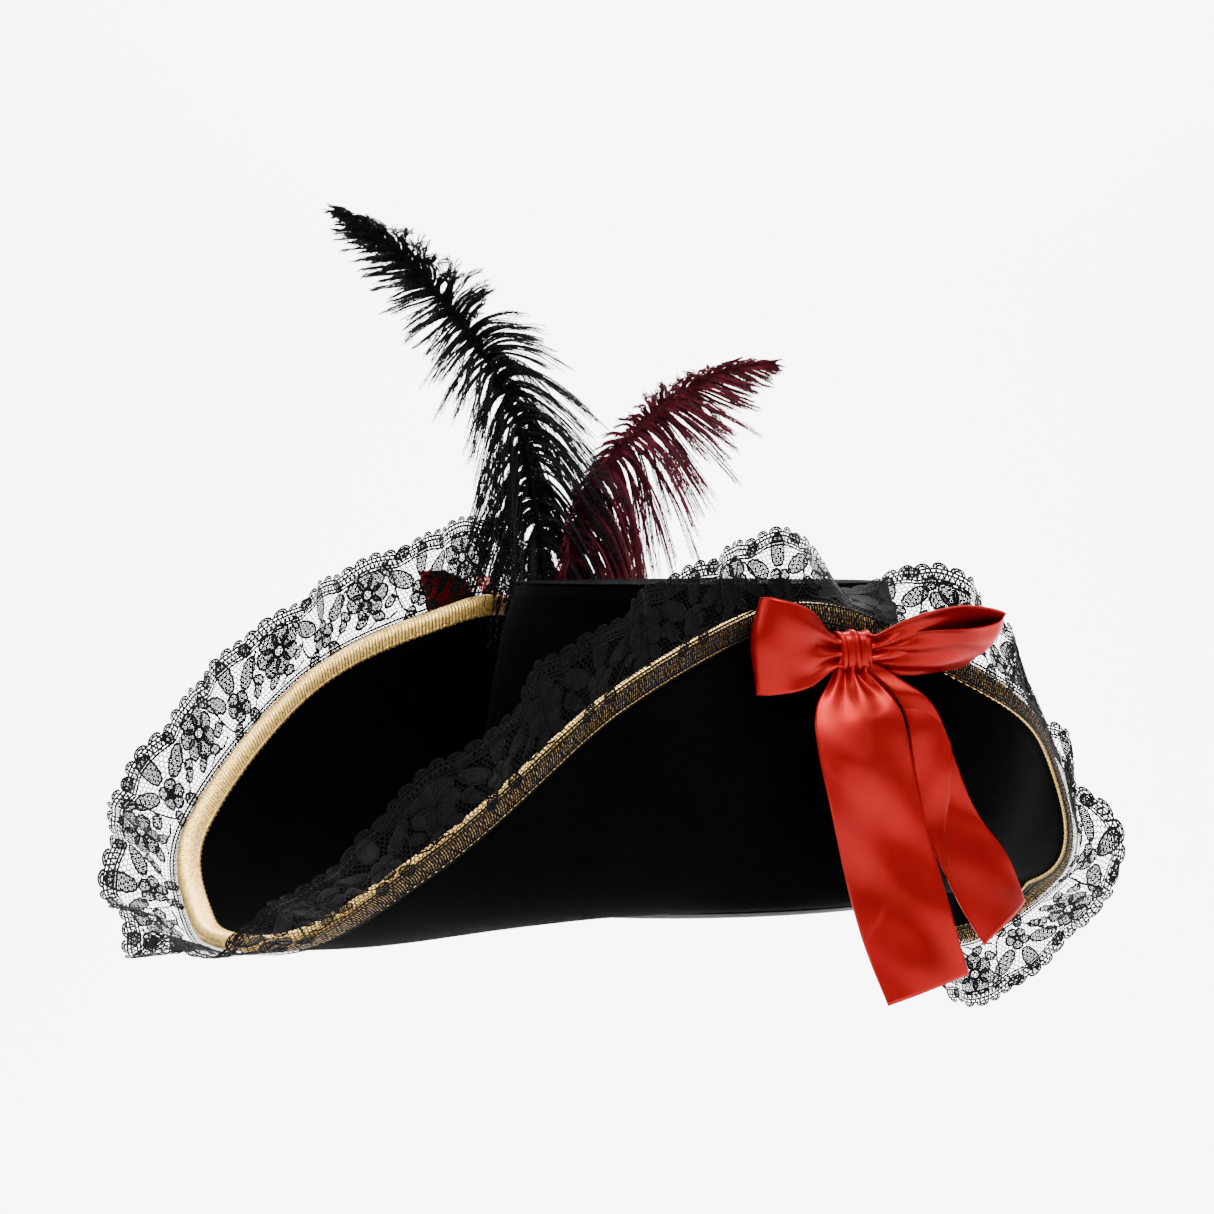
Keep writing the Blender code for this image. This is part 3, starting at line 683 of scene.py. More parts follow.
def add_braid():
    """Woven metallic braid folded over the rim, with cross ribs, painted shade in the grooves between them,
    and a row of stitches along each edge.
    """
    gold = braid_material("gold_thread", (0.36, 0.20, 0.04), (0.86, 0.58, 0.18))
    section = braid_section()
    length = even_angles(16)[1]
    ribs = round(length / BRAID_RIB)
    count = ribs * BRAID_SAMPLES
    degrees = even_angles(count)[0]
    phase = np.arange(count) / BRAID_SAMPLES * 2 * math.pi
    height = BRAID_RIB_HEIGHT * (0.5 + 0.5 * np.cos(phase))
    inset = np.repeat(section[None, :, 0], count, axis=0)
    lift = np.repeat(section[None, :, 1], count, axis=0)
    edge = (section[:, 0] >= BINDING_WIDTH - 1e-6)[None, :]
    inset = inset + edge * (BRAID_EDGE_WAVE * np.cos(phase / 2))[:, None]
    lift = lift + np.sign(lift) * section[None, :, 2] * height[:, None]
    inset = inset - (np.abs(section[None, :, 1]) < 0.001) * section[None, :, 2] * height[:, None]
    angles = np.repeat(degrees[:, None], len(section), axis=1)
    points = rim_point(angles, inset, lift)
    faces = grid_faces(count, len(section), True, True)
    # Faces that start at the low point of each rib get a darker gold: painted shade in the grooves between
    # the ribs.
    painted_groove_shade = np.repeat((np.arange(count) % BRAID_SAMPLES == 2).astype(int), len(section))
    shade = braid_material("gold_painted_groove_shade", (0.10, 0.045, 0.008), (0.34, 0.19, 0.05))
    braid = make_piece(
        "gold_braid", points.reshape(-1, 3), faces, [gold, shade], "root", ["gold_binding"], index=painted_groove_shade,
        closed=True,
    )
    stitches = add_stitches(gold, length)
    return length


def add_stitches(finish, length):
    """Short raised stitches that hold the braid's two edges down."""
    count = round(length / STITCH_PITCH)
    centres = even_angles(count)[0]
    half = STITCH_LENGTH / 2 / length * 360
    points = []
    faces = []
    sides = STITCH_SIDES
    for side in (1, -1):
        for centre in centres:
            start = len(points)
            for forward, size in STITCH_PROFILE:
                for k in range(sides):
                    turn = 2 * math.pi * k / sides
                    inset = STITCH_INSET + STITCH_RADIUS * size * math.cos(turn)
                    lift = STACK + BINDING_THICKNESS + BRAID_RIB_HEIGHT * 0.8
                    lift = side * (lift + STITCH_RADIUS * size * math.sin(turn))
                    points.append((centre + forward * half, inset, lift))
            last = start + sides * (len(STITCH_PROFILE) - 1)
            faces += grid_faces(len(STITCH_PROFILE), sides, False, True, start)
            faces.append(list(range(start, start + sides)))
            faces.append(list(range(last, last + sides)))
    flat = np.array(points)
    placed = rim_point(flat[:, 0], flat[:, 1], flat[:, 2])
    return make_piece("braid_stitches", placed, faces, [finish], "root", [], closed=True)


# ---------------------------------------------------------------- lace

LACE_WIDTH = BINDING_WIDTH + LACE_REACH
LACE_REPEAT = 0.050
LACE_UNDER = STACK + BINDING_THICKNESS + BRAID_RIB_HEIGHT + GAP + LACE_THICKNESS / 2
NET_PITCH = 0.0019
NET_THREAD = 0.00043
CORD_WIDTH = 0.00080
FILL_WIDTH = 0.00049
FILL_PITCH = 0.00056
PICOT_PITCH = 0.0058
HEADING_THREAD = 0.00072
BORDER = 0.0055
RIPPLES = 24
RIPPLE_TURN = 0.24
LEAN_ANGLES = (-180, -75, -60, -45, 0, 66, 75, 82, 90, 98, 112, 125, 180)
LEANS = (0.1, 0.0, 0.0, 0.0, 0.0, 0.05, 0.85, 1.25, 0.55, 0.0, 0.35, 0.7, 0.1)
STANDS = (1.0, 1.15, 1.15, 1.05, 1.08, 1.0, 1.0, 1.0, 1.05, 1.12, 1.0, 1.0, 1.0)
RIPPLE_START = 0.012
FINE_RIPPLE = 0.0008
FINE_RIPPLE_START = 0.010

# Share of the repeat, depth below the heading, petals, near and far end, width, turn from repeat to repeat.
FLOWERS = ((0.27, 0.0243, 7, 0.0022, 0.0096, 0.0066, 0.3), (0.77, 0.0178, 5, 0.0012, 0.0058, 0.0048, 0.9))
# Leaves round the small flower: angle, near and far end, width.
FAN = (
    (2.5, 0.0064, 0.0179, 0.0058),
    (1.57, 0.0064, 0.0189, 0.0058),
    (0.64, 0.0064, 0.0179, 0.0058),
    (-2.2, 0.0062, 0.0128, 0.0046),
    (-0.94, 0.0062, 0.0128, 0.0046),
)
# Stems: share of the repeat and depth of each point.
STEMS = (
    ((0.0, 0.0135), (0.08, 0.0118), (0.2, 0.0125), (0.3, 0.0108)),
    ((0.44, 0.0300), (0.52, 0.0245), (0.57, 0.0160), (0.64, 0.0122), (0.72, 0.0112)),
    ((0.83, 0.0108), (0.93, 0.0125), (1.00, 0.0190), (1.03, 0.0270), (1.09, 0.0318)),
)
# Small leaves: share of the repeat, depth, angle, length.
LEAVES = (
    (0.50, 0.0300, 1.1, 0.0062),
    (0.545, 0.0215, -2.5, 0.0056),
    (0.60, 0.0150, 2.6, 0.0060),
    (1.01, 0.0200, -0.6, 0.0060),
    (1.04, 0.0280, 0.9, 0.0066),
    (0.02, 0.0345, 3.0, 0.0060),
    (0.12, 0.0125, 0.5, 0.0070),
    (0.42, 0.0125, 2.6, 0.0070),
)
LEAF_START = 0.0006
LEAF_WIDTH = 0.0036
BORDER_CORDS = (-0.0046, -0.0034, -0.0010, 0.0004)
BORDER_LACING_PITCH = 0.0009
HEADING_CORDS = (0.0004, 0.0016, 0.0086, 0.0100)
HEADING_LACING_PITCH = 0.0011
EDGE_PITCH = 0.0012
PICOT_RADII = (0.0024, 0.0014)
PICOT_SPOKES = (0.8, 1.57, 2.34)


class LacePattern:
    """Flat drawing of the lace: strips of thread in length u and width v, measured from the heading's top."""

    def __init__(self, length):
        self.length = length
        self.points = []
        self.faces = []
        self.index = []

    def strip(self, line, width, material, raise_by=0.0, ridge=0.0):
        """Thread along a line; ridge makes it stand up in the middle like a cord."""
        line = np.asarray(line, float)
        run = unit(np.gradient(line, axis=0))
        side = np.stack([-run[:, 1], run[:, 0]], axis=1) * width / 2
        start = len(self.points)
        columns = 3 if ridge else 2
        for k in range(len(line)):
            self.points.append((*(line[k] - side[k]), raise_by))
            if ridge:
                self.points.append((*line[k], raise_by + ridge))
            self.points.append((*(line[k] + side[k]), raise_by))
        added = grid_faces(len(line), columns, start=start)
        self.faces += added
        self.index += [material] * len(added)

    def net(self, top, bottom):
        """Hexagonal net between two lines of v."""
        across = round(self.length / NET_PITCH)
        pitch = self.length / across
        rise = NET_PITCH * math.sqrt(3) / 2
        rows = int((bottom - top) / rise)
        half = NET_THREAD / 2
        for j in range(rows + 1):
            shift = 0.5 * (j % 2)
            for i in range(across):
                u = (i + shift) * pitch
                v = top + j * rise
                if v > self.edge(u) - BORDER * 0.4:
                    continue
                low = (u, v - rise / 3)
                knot = (u, v + rise / 3)
                for a, b in (
                    (low, knot),
                    (knot, (u + pitch / 2, v + rise * 2 / 3)),
                    (knot, (u - pitch / 2, v + rise * 2 / 3)),
                ):
                    du, dv = b[0] - a[0], b[1] - a[1]
                    size = math.hypot(du, dv)
                    nu, nv = -dv / size * half, du / size * half
                    start = len(self.points)
                    self.points += [
                        (a[0] - nu, a[1] - nv, 0.0),
                        (a[0] + nu, a[1] + nv, 0.0),
                        (b[0] + nu, b[1] + nv, 0.0),
                        (b[0] - nu, b[1] - nv, 0.0),
                    ]
                    self.faces.append((start, start + 1, start + 2, start + 3))
                    self.index.append(0)

    def edge(self, u):
        """Scalloped lower edge of the lace."""
        turn = math.pi * u / (self.length / round(self.length / (LACE_REPEAT / 2)))
        return LACE_WIDTH - BORDER * 0.55 + 0.0022 * (abs(math.sin(turn)) - 1)

    def petal(self, centre, angle, near, far, width):
        """Rounded petal or leaf that points away from its centre, filled with cross threads."""
        out = np.array([math.cos(angle), math.sin(angle)])
        aside = np.array([-out[1], out[0]])
        turn = np.linspace(0, math.pi, 13)
        reach = near + (far - near) * (1 - np.cos(turn)) / 2
        bulge = width / 2 * np.sin(turn) ** 0.75
        left = centre + out * reach[:, None] + aside * bulge[:, None]
        right = centre + out * reach[:, None] - aside * bulge[:, None]
        self.strip(np.vstack([left, right[-2::-1]]), CORD_WIDTH, 1, 0.00015, 0.00025)
        lines = int((far - near) / FILL_PITCH)
        for i in range(1, lines):
            at = near + (far - near) * i / lines
            size = float(np.interp(at, reach, bulge))
            middle = centre + out * at
            self.strip([middle - aside * size, middle + aside * size], FILL_WIDTH, 2, 0.00005)

    def ring(self, centre, radius, width=CORD_WIDTH, steps=14):
        """Round eyelet."""
        turn = np.linspace(0, 2 * math.pi, steps + 1)
        circle = np.stack([np.cos(turn), np.sin(turn)], axis=1) * radius + centre
        self.strip(circle, width, 1, 0.0002, 0.00025)

    def flower(self, centre, petals, near, far, width, start):
        """Ring of petals round an eyelet."""
        for k in range(petals):
            self.petal(centre, start + 2 * math.pi * k / petals, near, far, width)
        self.ring(centre, near * 0.85)
        self.ring(centre, near * 0.45, CORD_WIDTH * 0.8, 8)

    def stem(self, points):
        """Smooth outline cord through listed points."""
        smooth = through_points(points, 5 * len(points))[0]
        self.strip(smooth, CORD_WIDTH, 1, 0.0002, 0.0003)

    def motifs(self, u, step, turns):
        """Flowers, leaves and stems of one repeat that starts at u."""
        for share, v, petals, near, far, width, turn in FLOWERS:
            centre = np.array([u + step * share, v])
            self.flower(centre, petals, near, far, width, turn * turns)
        for angle, near, far, width in FAN:
            self.petal(centre, angle, near, far, width)
        for points in STEMS:
            self.stem([(u + step * share, v) for share, v in points])
        for share, v, angle, size in LEAVES:
            self.petal(np.array([u + step * share, v]), angle, LEAF_START, size, LEAF_WIDTH)

    def border(self, along):
        """Cords and lacing along the scalloped edge."""
        edge = np.array([self.edge(u) for u in along])
        for offset in BORDER_CORDS:
            self.strip(np.stack([along, edge + offset], axis=1), CORD_WIDTH, 1, 0.0002, 0.0003)
        for k in range(round(self.length / BORDER_LACING_PITCH)):
            u = k * BORDER_LACING_PITCH
            v = self.edge(u)
            slant = 0.0006 * (-1) ** k
            self.strip([(u - slant, v - 0.0034), (u + slant, v + 0.0004)], FILL_WIDTH * 1.3, 2, 0.0001)

    def picots(self):
        """Small double loops that hang from the edge."""
        count = round(self.length / PICOT_PITCH)
        outer, inner = PICOT_RADII
        turn = np.linspace(math.pi, 0, 8)
        for k in range(count):
            u = (k + 0.5) * self.length / count
            v = self.edge(u) + 0.0004
            for radius in PICOT_RADII:
                arc = np.stack([u + radius * np.cos(turn), v + radius * 0.85 * np.sin(turn)], axis=1)
                self.strip(arc, CORD_WIDTH, 1, 0.0001, 0.00025)
            for angle in PICOT_SPOKES:
                near = (u + inner * math.cos(angle), v + 0.0012 * math.sin(angle))
                far = (u + outer * math.cos(angle), v + 0.0021 * math.sin(angle))
                self.strip([near, far], FILL_WIDTH, 2)

    def heading(self, along):
        """Cords and lacing of the straight edge that is sewn over the braid."""
        for v in HEADING_CORDS:
            self.strip(np.stack([along, np.full_like(along, v)], axis=1), CORD_WIDTH, 1, 0.0001, 0.0002)
        for k in range(round(self.length / HEADING_LACING_PITCH)):
            u = k * HEADING_LACING_PITCH
            self.strip([(u, 0.0010), (u + 0.0006, 0.0048), (u, 0.0086)], HEADING_THREAD, 2, 0.00005)


def draw_lace(length):
    """The lace's whole pattern along the rim."""
    lace = LacePattern(length)
    lace.net(0.0004, LACE_WIDTH)
    repeats = round(length / LACE_REPEAT)
    step = length / repeats
    for i in range(repeats):
        lace.motifs(i * step, step, i)
    along = np.linspace(0, length, round(length / EDGE_PITCH) + 1)
    lace.border(along)
    lace.picots()
    lace.heading(along)
    return lace


def place_lace(points, length):
    """Bring the flat pattern onto the rim: against the braid, then standing out in soft ripples."""
    fine = np.linspace(-20, 380, 8001)
    line = rim_point(fine, 0.0, 0.0)
    run = np.r_[0, np.cumsum(np.linalg.norm(np.diff(line, axis=0), axis=1))]
    run = run - np.interp(0.0, fine, run)
    u, v, lift = points[:, 0], points[:, 1], points[:, 2]
    degrees = np.interp(u, run, fine)
    turned = (degrees + 180.0) % 360.0 - 180.0
    reach = np.clip(v - BINDING_WIDTH, 0, None)
    around = u / length * 2 * math.pi
    wave = np.sin(RIPPLES * around + 1.3 * np.sin(3 * around) + 0.8 * np.sin(5 * around + 1))
    wave = wave * (0.70 + 0.30 * np.sin(7 * around + 2))
    turn = np.interp(turned, LEAN_ANGLES, LEANS) + RIPPLE_TURN * wave * np.clip(reach / RIPPLE_START, 0, 1)
    stand = np.interp(turned, LEAN_ANGLES, STANDS)
    fine_wave = FINE_RIPPLE * np.sin(3.1 * RIPPLES * around + 2 * wave)
    fine_wave = fine_wave * np.clip(reach / FINE_RIPPLE_START, 0, 1)
    inset = np.where(reach > 0, -reach * stand * np.cos(turn), BINDING_WIDTH - v)
    return rim_point(degrees, inset, -LACE_UNDER - lift + reach * np.sin(turn) + fine_wave)


def add_lace(length):
    """Gathered black lace sewn over the outside of the braid."""
    net = thread_material("lace_net", (0.0012, 0.0012, 0.0014), 0.7, 0.004)
    cord = thread_material("lace_cord", (0.0010, 0.0010, 0.0012), 0.6, 0.004)
    fill = thread_material("lace_fill", (0.0020, 0.0020, 0.0023), 0.6, 0.006)
    pattern = draw_lace(length)
    placed = place_lace(np.array(pattern.points), length)
    lace = make_piece(
        "lace_frill", placed, pattern.faces, [net, cord, fill], "root", ["lace_trim"],
        index=pattern.index, smooth=False,
    )


# ---------------------------------------------------------------- satin bows

BOW_ANGLE = 80.0
BOW_ALONG = 0.93
BOW_STAND_OFF = 0.0095
BOW_HEADING = (0.38, 0.925, 0.0)
RIGHT_BOW_LIFT = 0.008
RIBBON_WIDTH = 0.038
RIBBON_CLOTH = 0.0004
RIBBON_CURL = 0.0012
PLEAT_DEPTH = 0.0026
TAIL_WAVE = 0.0024
KNOT_SIZE = (0.0138, 0.0100, 0.0152)
PINCH = 0.013
RIBBON_COLUMNS = 33
# Stations of each ribbon: along the brim, outward, up, width, and turn of the width in degrees.
FRONT_LOOP = (
    (-0.0045, 0.0030, 0.000, PINCH, 5),
    (-0.0085, 0.0030, 0.000, PINCH, 5),
    (-0.020, 0.0085, 0.001, 0.030, 6),
    (-0.036, 0.0105, 0.002, RIBBON_WIDTH, 6),
    (-0.042, 0.0065, 0.002, RIBBON_WIDTH, 6),
    (-0.038, 0.0005, 0.002, RIBBON_WIDTH, 6),
    (-0.020, -0.0008, 0.001, 0.030, 6),
    (-0.0085, -0.0008, 0.000, PINCH, 5),
    (-0.0045, -0.0008, 0.000, PINCH, 5),
)
BACK_LOOP = (
    (0.0045, 0.0030, 0.001, PINCH, 20),
    (0.0085, 0.0035, 0.001, PINCH, 20),
    (0.022, 0.0120, 0.006, 0.028, 46),
    (0.038, 0.0175, 0.0095, 0.034, 60),
    (0.051, 0.0185, 0.0075, 0.036, 62),
    (0.0495, 0.0160, 0.0020, 0.036, 62),
    (0.036, 0.0130, -0.0005, 0.030, 56),
    (0.021, 0.0075, -0.0015, 0.022, 38),
    (0.0085, -0.0010, -0.001, PINCH, 20),
    (0.0045, -0.0010, -0.001, PINCH, 20),
)
FIRST_TAIL = (
    (-0.002, 0.0018, -0.0060, 0.013, 0),
    (-0.002, 0.0025, -0.0095, 0.014, 0),
    (-0.001, 0.0070, -0.020, 0.031, 0),
    (0.000, 0.0090, -0.032, 0.037, 0),
    (0.005, 0.0110, -0.058, RIBBON_WIDTH, 4),
    (0.012, 0.0125, -0.085, RIBBON_WIDTH, 6),
    (0.019, 0.0125, -0.110, RIBBON_WIDTH, 4),
    (0.027, 0.0120, -0.132, RIBBON_WIDTH, 0),
)
SECOND_TAIL = (
    (0.0060, 0.0003, -0.0050, 0.008, 0),
    (0.0125, 0.0005, -0.0095, 0.009, 0),
    (0.0255, 0.0025, -0.022, 0.015, 0),
    (0.0320, 0.0035, -0.040, 0.020, -4),
    (0.0387, 0.0040, -0.060, 0.025, -10),
    (0.0495, 0.0045, -0.083, 0.034, -16),
    (0.0615, 0.0050, -0.108, RIBBON_WIDTH, -24),
)
# Part, stations, whether it hangs, rows, pleats, slant of the cut end, depth of the part folded under.
BOW_RIBBONS = (
    ("front_loop", FRONT_LOOP, False, 90, 2.5, 0.0, 0.0),
    ("back_loop", BACK_LOOP, False, 100, 2.5, 0.0, 0.0),
    ("first_tail", FIRST_TAIL, True, 90, 2.5, -0.006, 0.0),
    ("second_tail", SECOND_TAIL, True, 80, 0.0, -0.009, 0.0011),
)
KNOT_AROUND = 72
KNOT_COLUMNS = 25
KNOT_SQUARENESS = 0.75
KNOT_PLEAT = 0.00085
KNOT_CREASE = 0.00035


def bow_frame(side):
    """Middle of a bow's knot, and its directions along the brim, outward and up."""
    place, outward, normal = brim_frame(np.array(BOW_ANGLE), np.array(BOW_ALONG))
    centre = place - normal * BOW_STAND_OFF
    along = unit(BOW_HEADING)
    out = np.array([along[1], -along[0], 0.0])
    up = np.array([0.0, 0.0, 1.0])
    if side == "right":
        flip = np.array([-1.0, 1.0, 1.0])
        return centre * flip + up * RIGHT_BOW_LIFT, along * flip, out * flip, up
    return centre, along, out, up


def ribbon_path(side, stations, hanging, rows):
    """Middle line, width direction, width and distance run of a ribbon."""
    centre, along, out, up = bow_frame(side)
    points = []
    for forward, away, rise, width, turn in stations:
        lean = math.radians(turn)
        wide = (along if hanging else up) * math.cos(lean) + out * math.sin(lean)
        points.append([*(centre + along * forward + out * away + up * rise), *wide, width])
    line, run = through_points(points, rows)
    return line[:, :3], unit(line[:, 3:6]), line[:, 6], run


def ribbon(side, part, stations, hanging, rows, pleats, cut, tucked, finish):
    """Ribbon through stations: pleated where it is pinched, softly curled where it is wide."""
    middle, across, width, run = ribbon_path(side, stations, hanging, rows)
    tangent = unit(np.gradient(middle, axis=0))
    normal = unit(np.cross(tangent, across))
    c = np.linspace(-1, 1, RIBBON_COLUMNS)[None, :]
    share = (run / run[-1])[:, None]
    if tucked:
        hidden = (1 - c) / 2 * RIBBON_WIDTH / width[:, None]
        reach = width[:, None] * (0.5 - np.arccos(0.98 * np.cos(math.pi * hidden)) / math.pi)
        fold = -tucked * np.clip(hidden - 0.2, 0, None)
    else:
        pinch = np.clip(1 - width / RIBBON_WIDTH, 0, 1)[:, None]
        reach = c * width[:, None] / 2
        fold = PLEAT_DEPTH * pinch**1.2 * np.sin(c * pleats * math.pi + 2.2 * share)
    roll = RIBBON_CURL * (c**2 - 0.35) * np.sin(share * math.pi) ** 0.5
    wander = 0.0007 * np.sin(9 * share + 2.6 * c) + 0.0004 * np.sin(21 * share - 3.5 * c + 1)
    if hanging:
        wander = wander + TAIL_WAVE * np.sin(8.5 * share + 0.9 * c - 0.6)
    relief = fold + roll + wander * np.clip(share * 6, 0, 1)
    place = middle[:, None, :] + across[:, None, :] * reach[..., None]
    slant = cut * c * np.clip((share - 0.6) / 0.4, 0, 1)
    place = place + normal[:, None, :] * relief[..., None] + tangent[:, None, :] * slant[..., None]
    facing = unit(np.cross(np.gradient(place, axis=0), np.gradient(place, axis=1))) * RIBBON_CLOTH / 2
    ring = np.concatenate([place + facing, (place - facing)[:, ::-1]], axis=1)
    columns = 2 * RIBBON_COLUMNS
    faces = grid_faces(rows, columns, False, True)
    for k in range(RIBBON_COLUMNS - 1):
        for start in (0, (rows - 1) * columns):
            faces.append((start + k, start + k + 1, start + columns - 2 - k, start + columns - 1 - k))
    flat_c = np.concatenate([c, c[:, ::-1]], axis=1) * RIBBON_WIDTH / 2
    uv = np.stack([run[:, None] + 0 * flat_c, 0 * run[:, None] + flat_c], axis=-1).reshape(-1, 2)
    name = side + "_" + part
    body = name if hanging else "root"
    replaced = [side + "_bow_" + part]
    made = make_piece(name, ring.reshape(-1, 3), faces, [finish], body, replaced, uv, closed=True)


def knot_wrap(side, finish):
    """Ribbon pleated lengthwise and wrapped once round the middle of the bow."""
    centre, along, out, up = bow_frame(side)
    phi = np.linspace(0, 2 * math.pi, KNOT_AROUND, endpoint=False)[:, None]
    a = np.linspace(-1, 1, KNOT_COLUMNS)[None, :]
    deep = np.sign(np.cos(phi)) * np.abs(np.cos(phi)) ** KNOT_SQUARENESS
    tall = np.sign(np.sin(phi)) * np.abs(np.sin(phi)) ** KNOT_SQUARENESS
    belly = 1 - 0.16 * a**4
    pleat = KNOT_PLEAT * np.sin(a * 7.5 + 1.3 * np.sin(phi) + 0.8) + KNOT_CREASE * np.sin(a * 15 + 2 * phi)
    half_deep = KNOT_SIZE[1] / 2 * belly + pleat
    half_tall = KNOT_SIZE[2] / 2 * belly + pleat * 0.6
    width = KNOT_SIZE[0] / 2 * (1 - 0.10 * np.cos(phi * 2))
    place = centre + along * (a * width)[..., None]
    place = place + out * (deep * half_deep)[..., None] + up * (tall * half_tall)[..., None]
    onward = np.roll(place, -1, axis=0) - np.roll(place, 1, axis=0)
    facing = unit(np.cross(onward, np.gradient(place, axis=1))) * RIBBON_CLOTH / 2
    ring = np.concatenate([place + facing, (place - facing)[:, ::-1]], axis=1).reshape(-1, 3)
    faces = grid_faces(KNOT_AROUND, 2 * KNOT_COLUMNS, True, True)
    flat = np.concatenate([a, a[:, ::-1]], axis=1) * 0.012 + 0 * phi
    uv = np.stack([phi * 0.008 + 0 * flat, flat], axis=-1).reshape(-1, 2)
    replaced = [side + "_bow_knot"]
    made = make_piece(side + "_bow_knot_wrap", ring, faces, [finish], "root", replaced, uv, closed=True)
    round_length = 2 * (KNOT_SIZE[1] + KNOT_SIZE[2]) * 0.86
    flat = (cloth_area(made) / round_length, round_length)


def add_bow(side, finish):
    """Knot, loops and tails of one bow."""
    knot_wrap(side, finish)
    for part, stations, hanging, rows, pleats, cut, tucked in BOW_RIBBONS:
        ribbon(side, part, stations, hanging, rows, pleats, cut, tucked, finish)


# ---------------------------------------------------------------- plumes

BLACK_ROOT = (-0.0955, -0.010, 0.066)
BURGUNDY_ROOT = (-0.0890, -0.003, 0.066)
QUILL_RADIUS = 0.0013
QUILL_TIP = 0.35
QUILL_SINK = 0.012
BARB_ROWS = 1250
BARB_STEPS = 10
BARB_CLUMP = 8
BARBULES = 28
BARBULE_LENGTH = 0.0027
BARBULE_WIDTH = 0.00048
BARB_WIDTH = 0.00072
SPINE_SHARES = (0.0, 0.55, 0.80, 1.0)
BARB_ALONG = (-0.80, -0.35, 0.55, 1.25)
BARB_ASIDE = (0.45, 0.80, 0.70, 0.55)
BARB_SAG = (1.0, 0.80, 0.05, 0.0)
BARB_GROWTH = (1.45, 1.10, 1.0, 1.0)
BARE_SHARE = 0.10
CURLY_FROM = 0.76
CURLY_LENGTH = 0.72
QUILL_SIDES = 10
# Stations of each plume: along its heading, up, front barb length, back barb length.
BLACK_HEADING = (-0.1, -0.995, 0.0)
BLACK_STATIONS = (
    (0.000, 0.020, 0.005, 0.005),
    (0.001, 0.052, 0.006, 0.006),
    (0.002, 0.070, 0.020, 0.022),
    (0.006, 0.095, 0.031, 0.034),
    (0.013, 0.127, 0.026, 0.040),
    (0.029, 0.155, 0.022, 0.036),
    (0.049, 0.179, 0.024, 0.024),
    (0.076, 0.203, 0.022, 0.016),
    (0.105, 0.218, 0.004, 0.004),
)
BURGUNDY_HEADING = (0.35, 0.937, 0.0)
BURGUNDY_STATIONS = (
    (0.000, 0.020, 0.005, 0.005),
    (0.001, 0.052, 0.006, 0.006),
    (0.002, 0.070, 0.026, 0.007),
    (0.008, 0.097, 0.036, 0.007),
    (0.026, 0.120, 0.038, 0.012),
    (0.048, 0.140, 0.034, 0.012),
    (0.072, 0.153, 0.020, 0.008),
    (0.097, 0.157, 0.004, 0.004),
)


def spine_of(root, heading, stations):
    """Smooth spine of a plume with its two barb lengths: columns x, y, z, front, back."""
    base = np.array(root)
    sweep = unit(heading)
    rows = [[*(base - (0, 0, QUILL_SINK)), 0, 0], [*base, 0.0, 0.0]]
    for forward, rise, front, back in stations:
        rows.append([*(base + sweep * forward + np.array([0, 0, rise])), front, back])
    return through_points(rows, 400)[0]


def add_quill(colour, spine, finish):
    """Tapered round shaft."""
    path = spine[::3, :3]
    run = unit(np.gradient(path, axis=0))
    first = unit(np.cross(run, (0.3, 0.9, 0.1)))
    second = np.cross(run, first)
    turn = np.linspace(0, 2 * math.pi, QUILL_SIDES, endpoint=False)
    radius = QUILL_RADIUS * np.linspace(1, QUILL_TIP, len(path))[:, None, None]
    ring = first[:, None, :] * np.cos(turn)[None, :, None] + second[:, None, :] * np.sin(turn)[None, :, None]
    points = (path[:, None, :] + ring * radius).reshape(-1, 3)
    faces = grid_faces(len(path), QUILL_SIDES, False, True)
    faces.append(list(range(QUILL_SIDES)))
    faces.append(list(range((len(path) - 1) * QUILL_SIDES, len(path) * QUILL_SIDES)))
    body, replaced = colour + "_plume", [colour + "_feather_quill"]
    made = make_piece(colour + "_quill", points, faces, [finish], body, replaced, closed=True)


def barb_line(start, run, aside, across, share, length, spread, sway, gather, curly):
    """Middle line of one barb: out from the quill, then drooping and curling."""
    along_part = np.interp(share, SPINE_SHARES, BARB_ALONG)
    aside_part = np.interp(share, SPINE_SHARES, BARB_ASIDE)
    sag = np.interp(share, SPINE_SHARES, BARB_SAG)
    lean = unit(aside * aside_part + run * along_part + across * spread)
    first_lean = aside * 0.62 + run * max(along_part, 0.28) + across * spread * 0.7
    bend = start + first_lean * length * 0.5
    end = start + lean * length - run * gather + np.array([0, 0, -sag * length])
    t = np.linspace(0, 1, BARB_STEPS)[:, None]
    line = start * (1 - t) ** 2 + bend * 2 * t * (1 - t) + end * t**2
    size = 0.0030 if curly else 0.0009
    curl = np.sin(t * 5.5 + sway) * size + np.sin(t * 13 + 2 * sway) * size * 0.35
    return line + (across * curl + np.cross(aside, across) * curl * 0.8) * t


def barb_fringe(line, along, length):
    """Fine barbules along one barb, as separate triangles."""
    t = np.linspace(0, 1, BARB_STEPS)
    number = max(8, int(BARBULES * length / 0.03))
    where = np.linspace(0.0, 1.0, number)
    spots = np.stack([np.interp(where, t, line[:, d]) for d in range(3)], axis=1)
    onward = np.stack([np.interp(where, t, along[:, d]) for d in range(3)], axis=1)
    scatter = random.uniform(-1, 1, (number, 3))
    away = unit(np.cross(onward, scatter) + 0.55 * onward)
    size = BARBULE_LENGTH * random.uniform(0.55, 1.1, (number, 1)) * min(1.0, length / 0.012)
    broad = unit(np.cross(away, onward)) * BARBULE_WIDTH / 2
    tips = spots + away * size + np.array([0, 0, -0.00035])
    return np.stack([spots - broad, spots + broad, tips], axis=1).reshape(-1, 3)


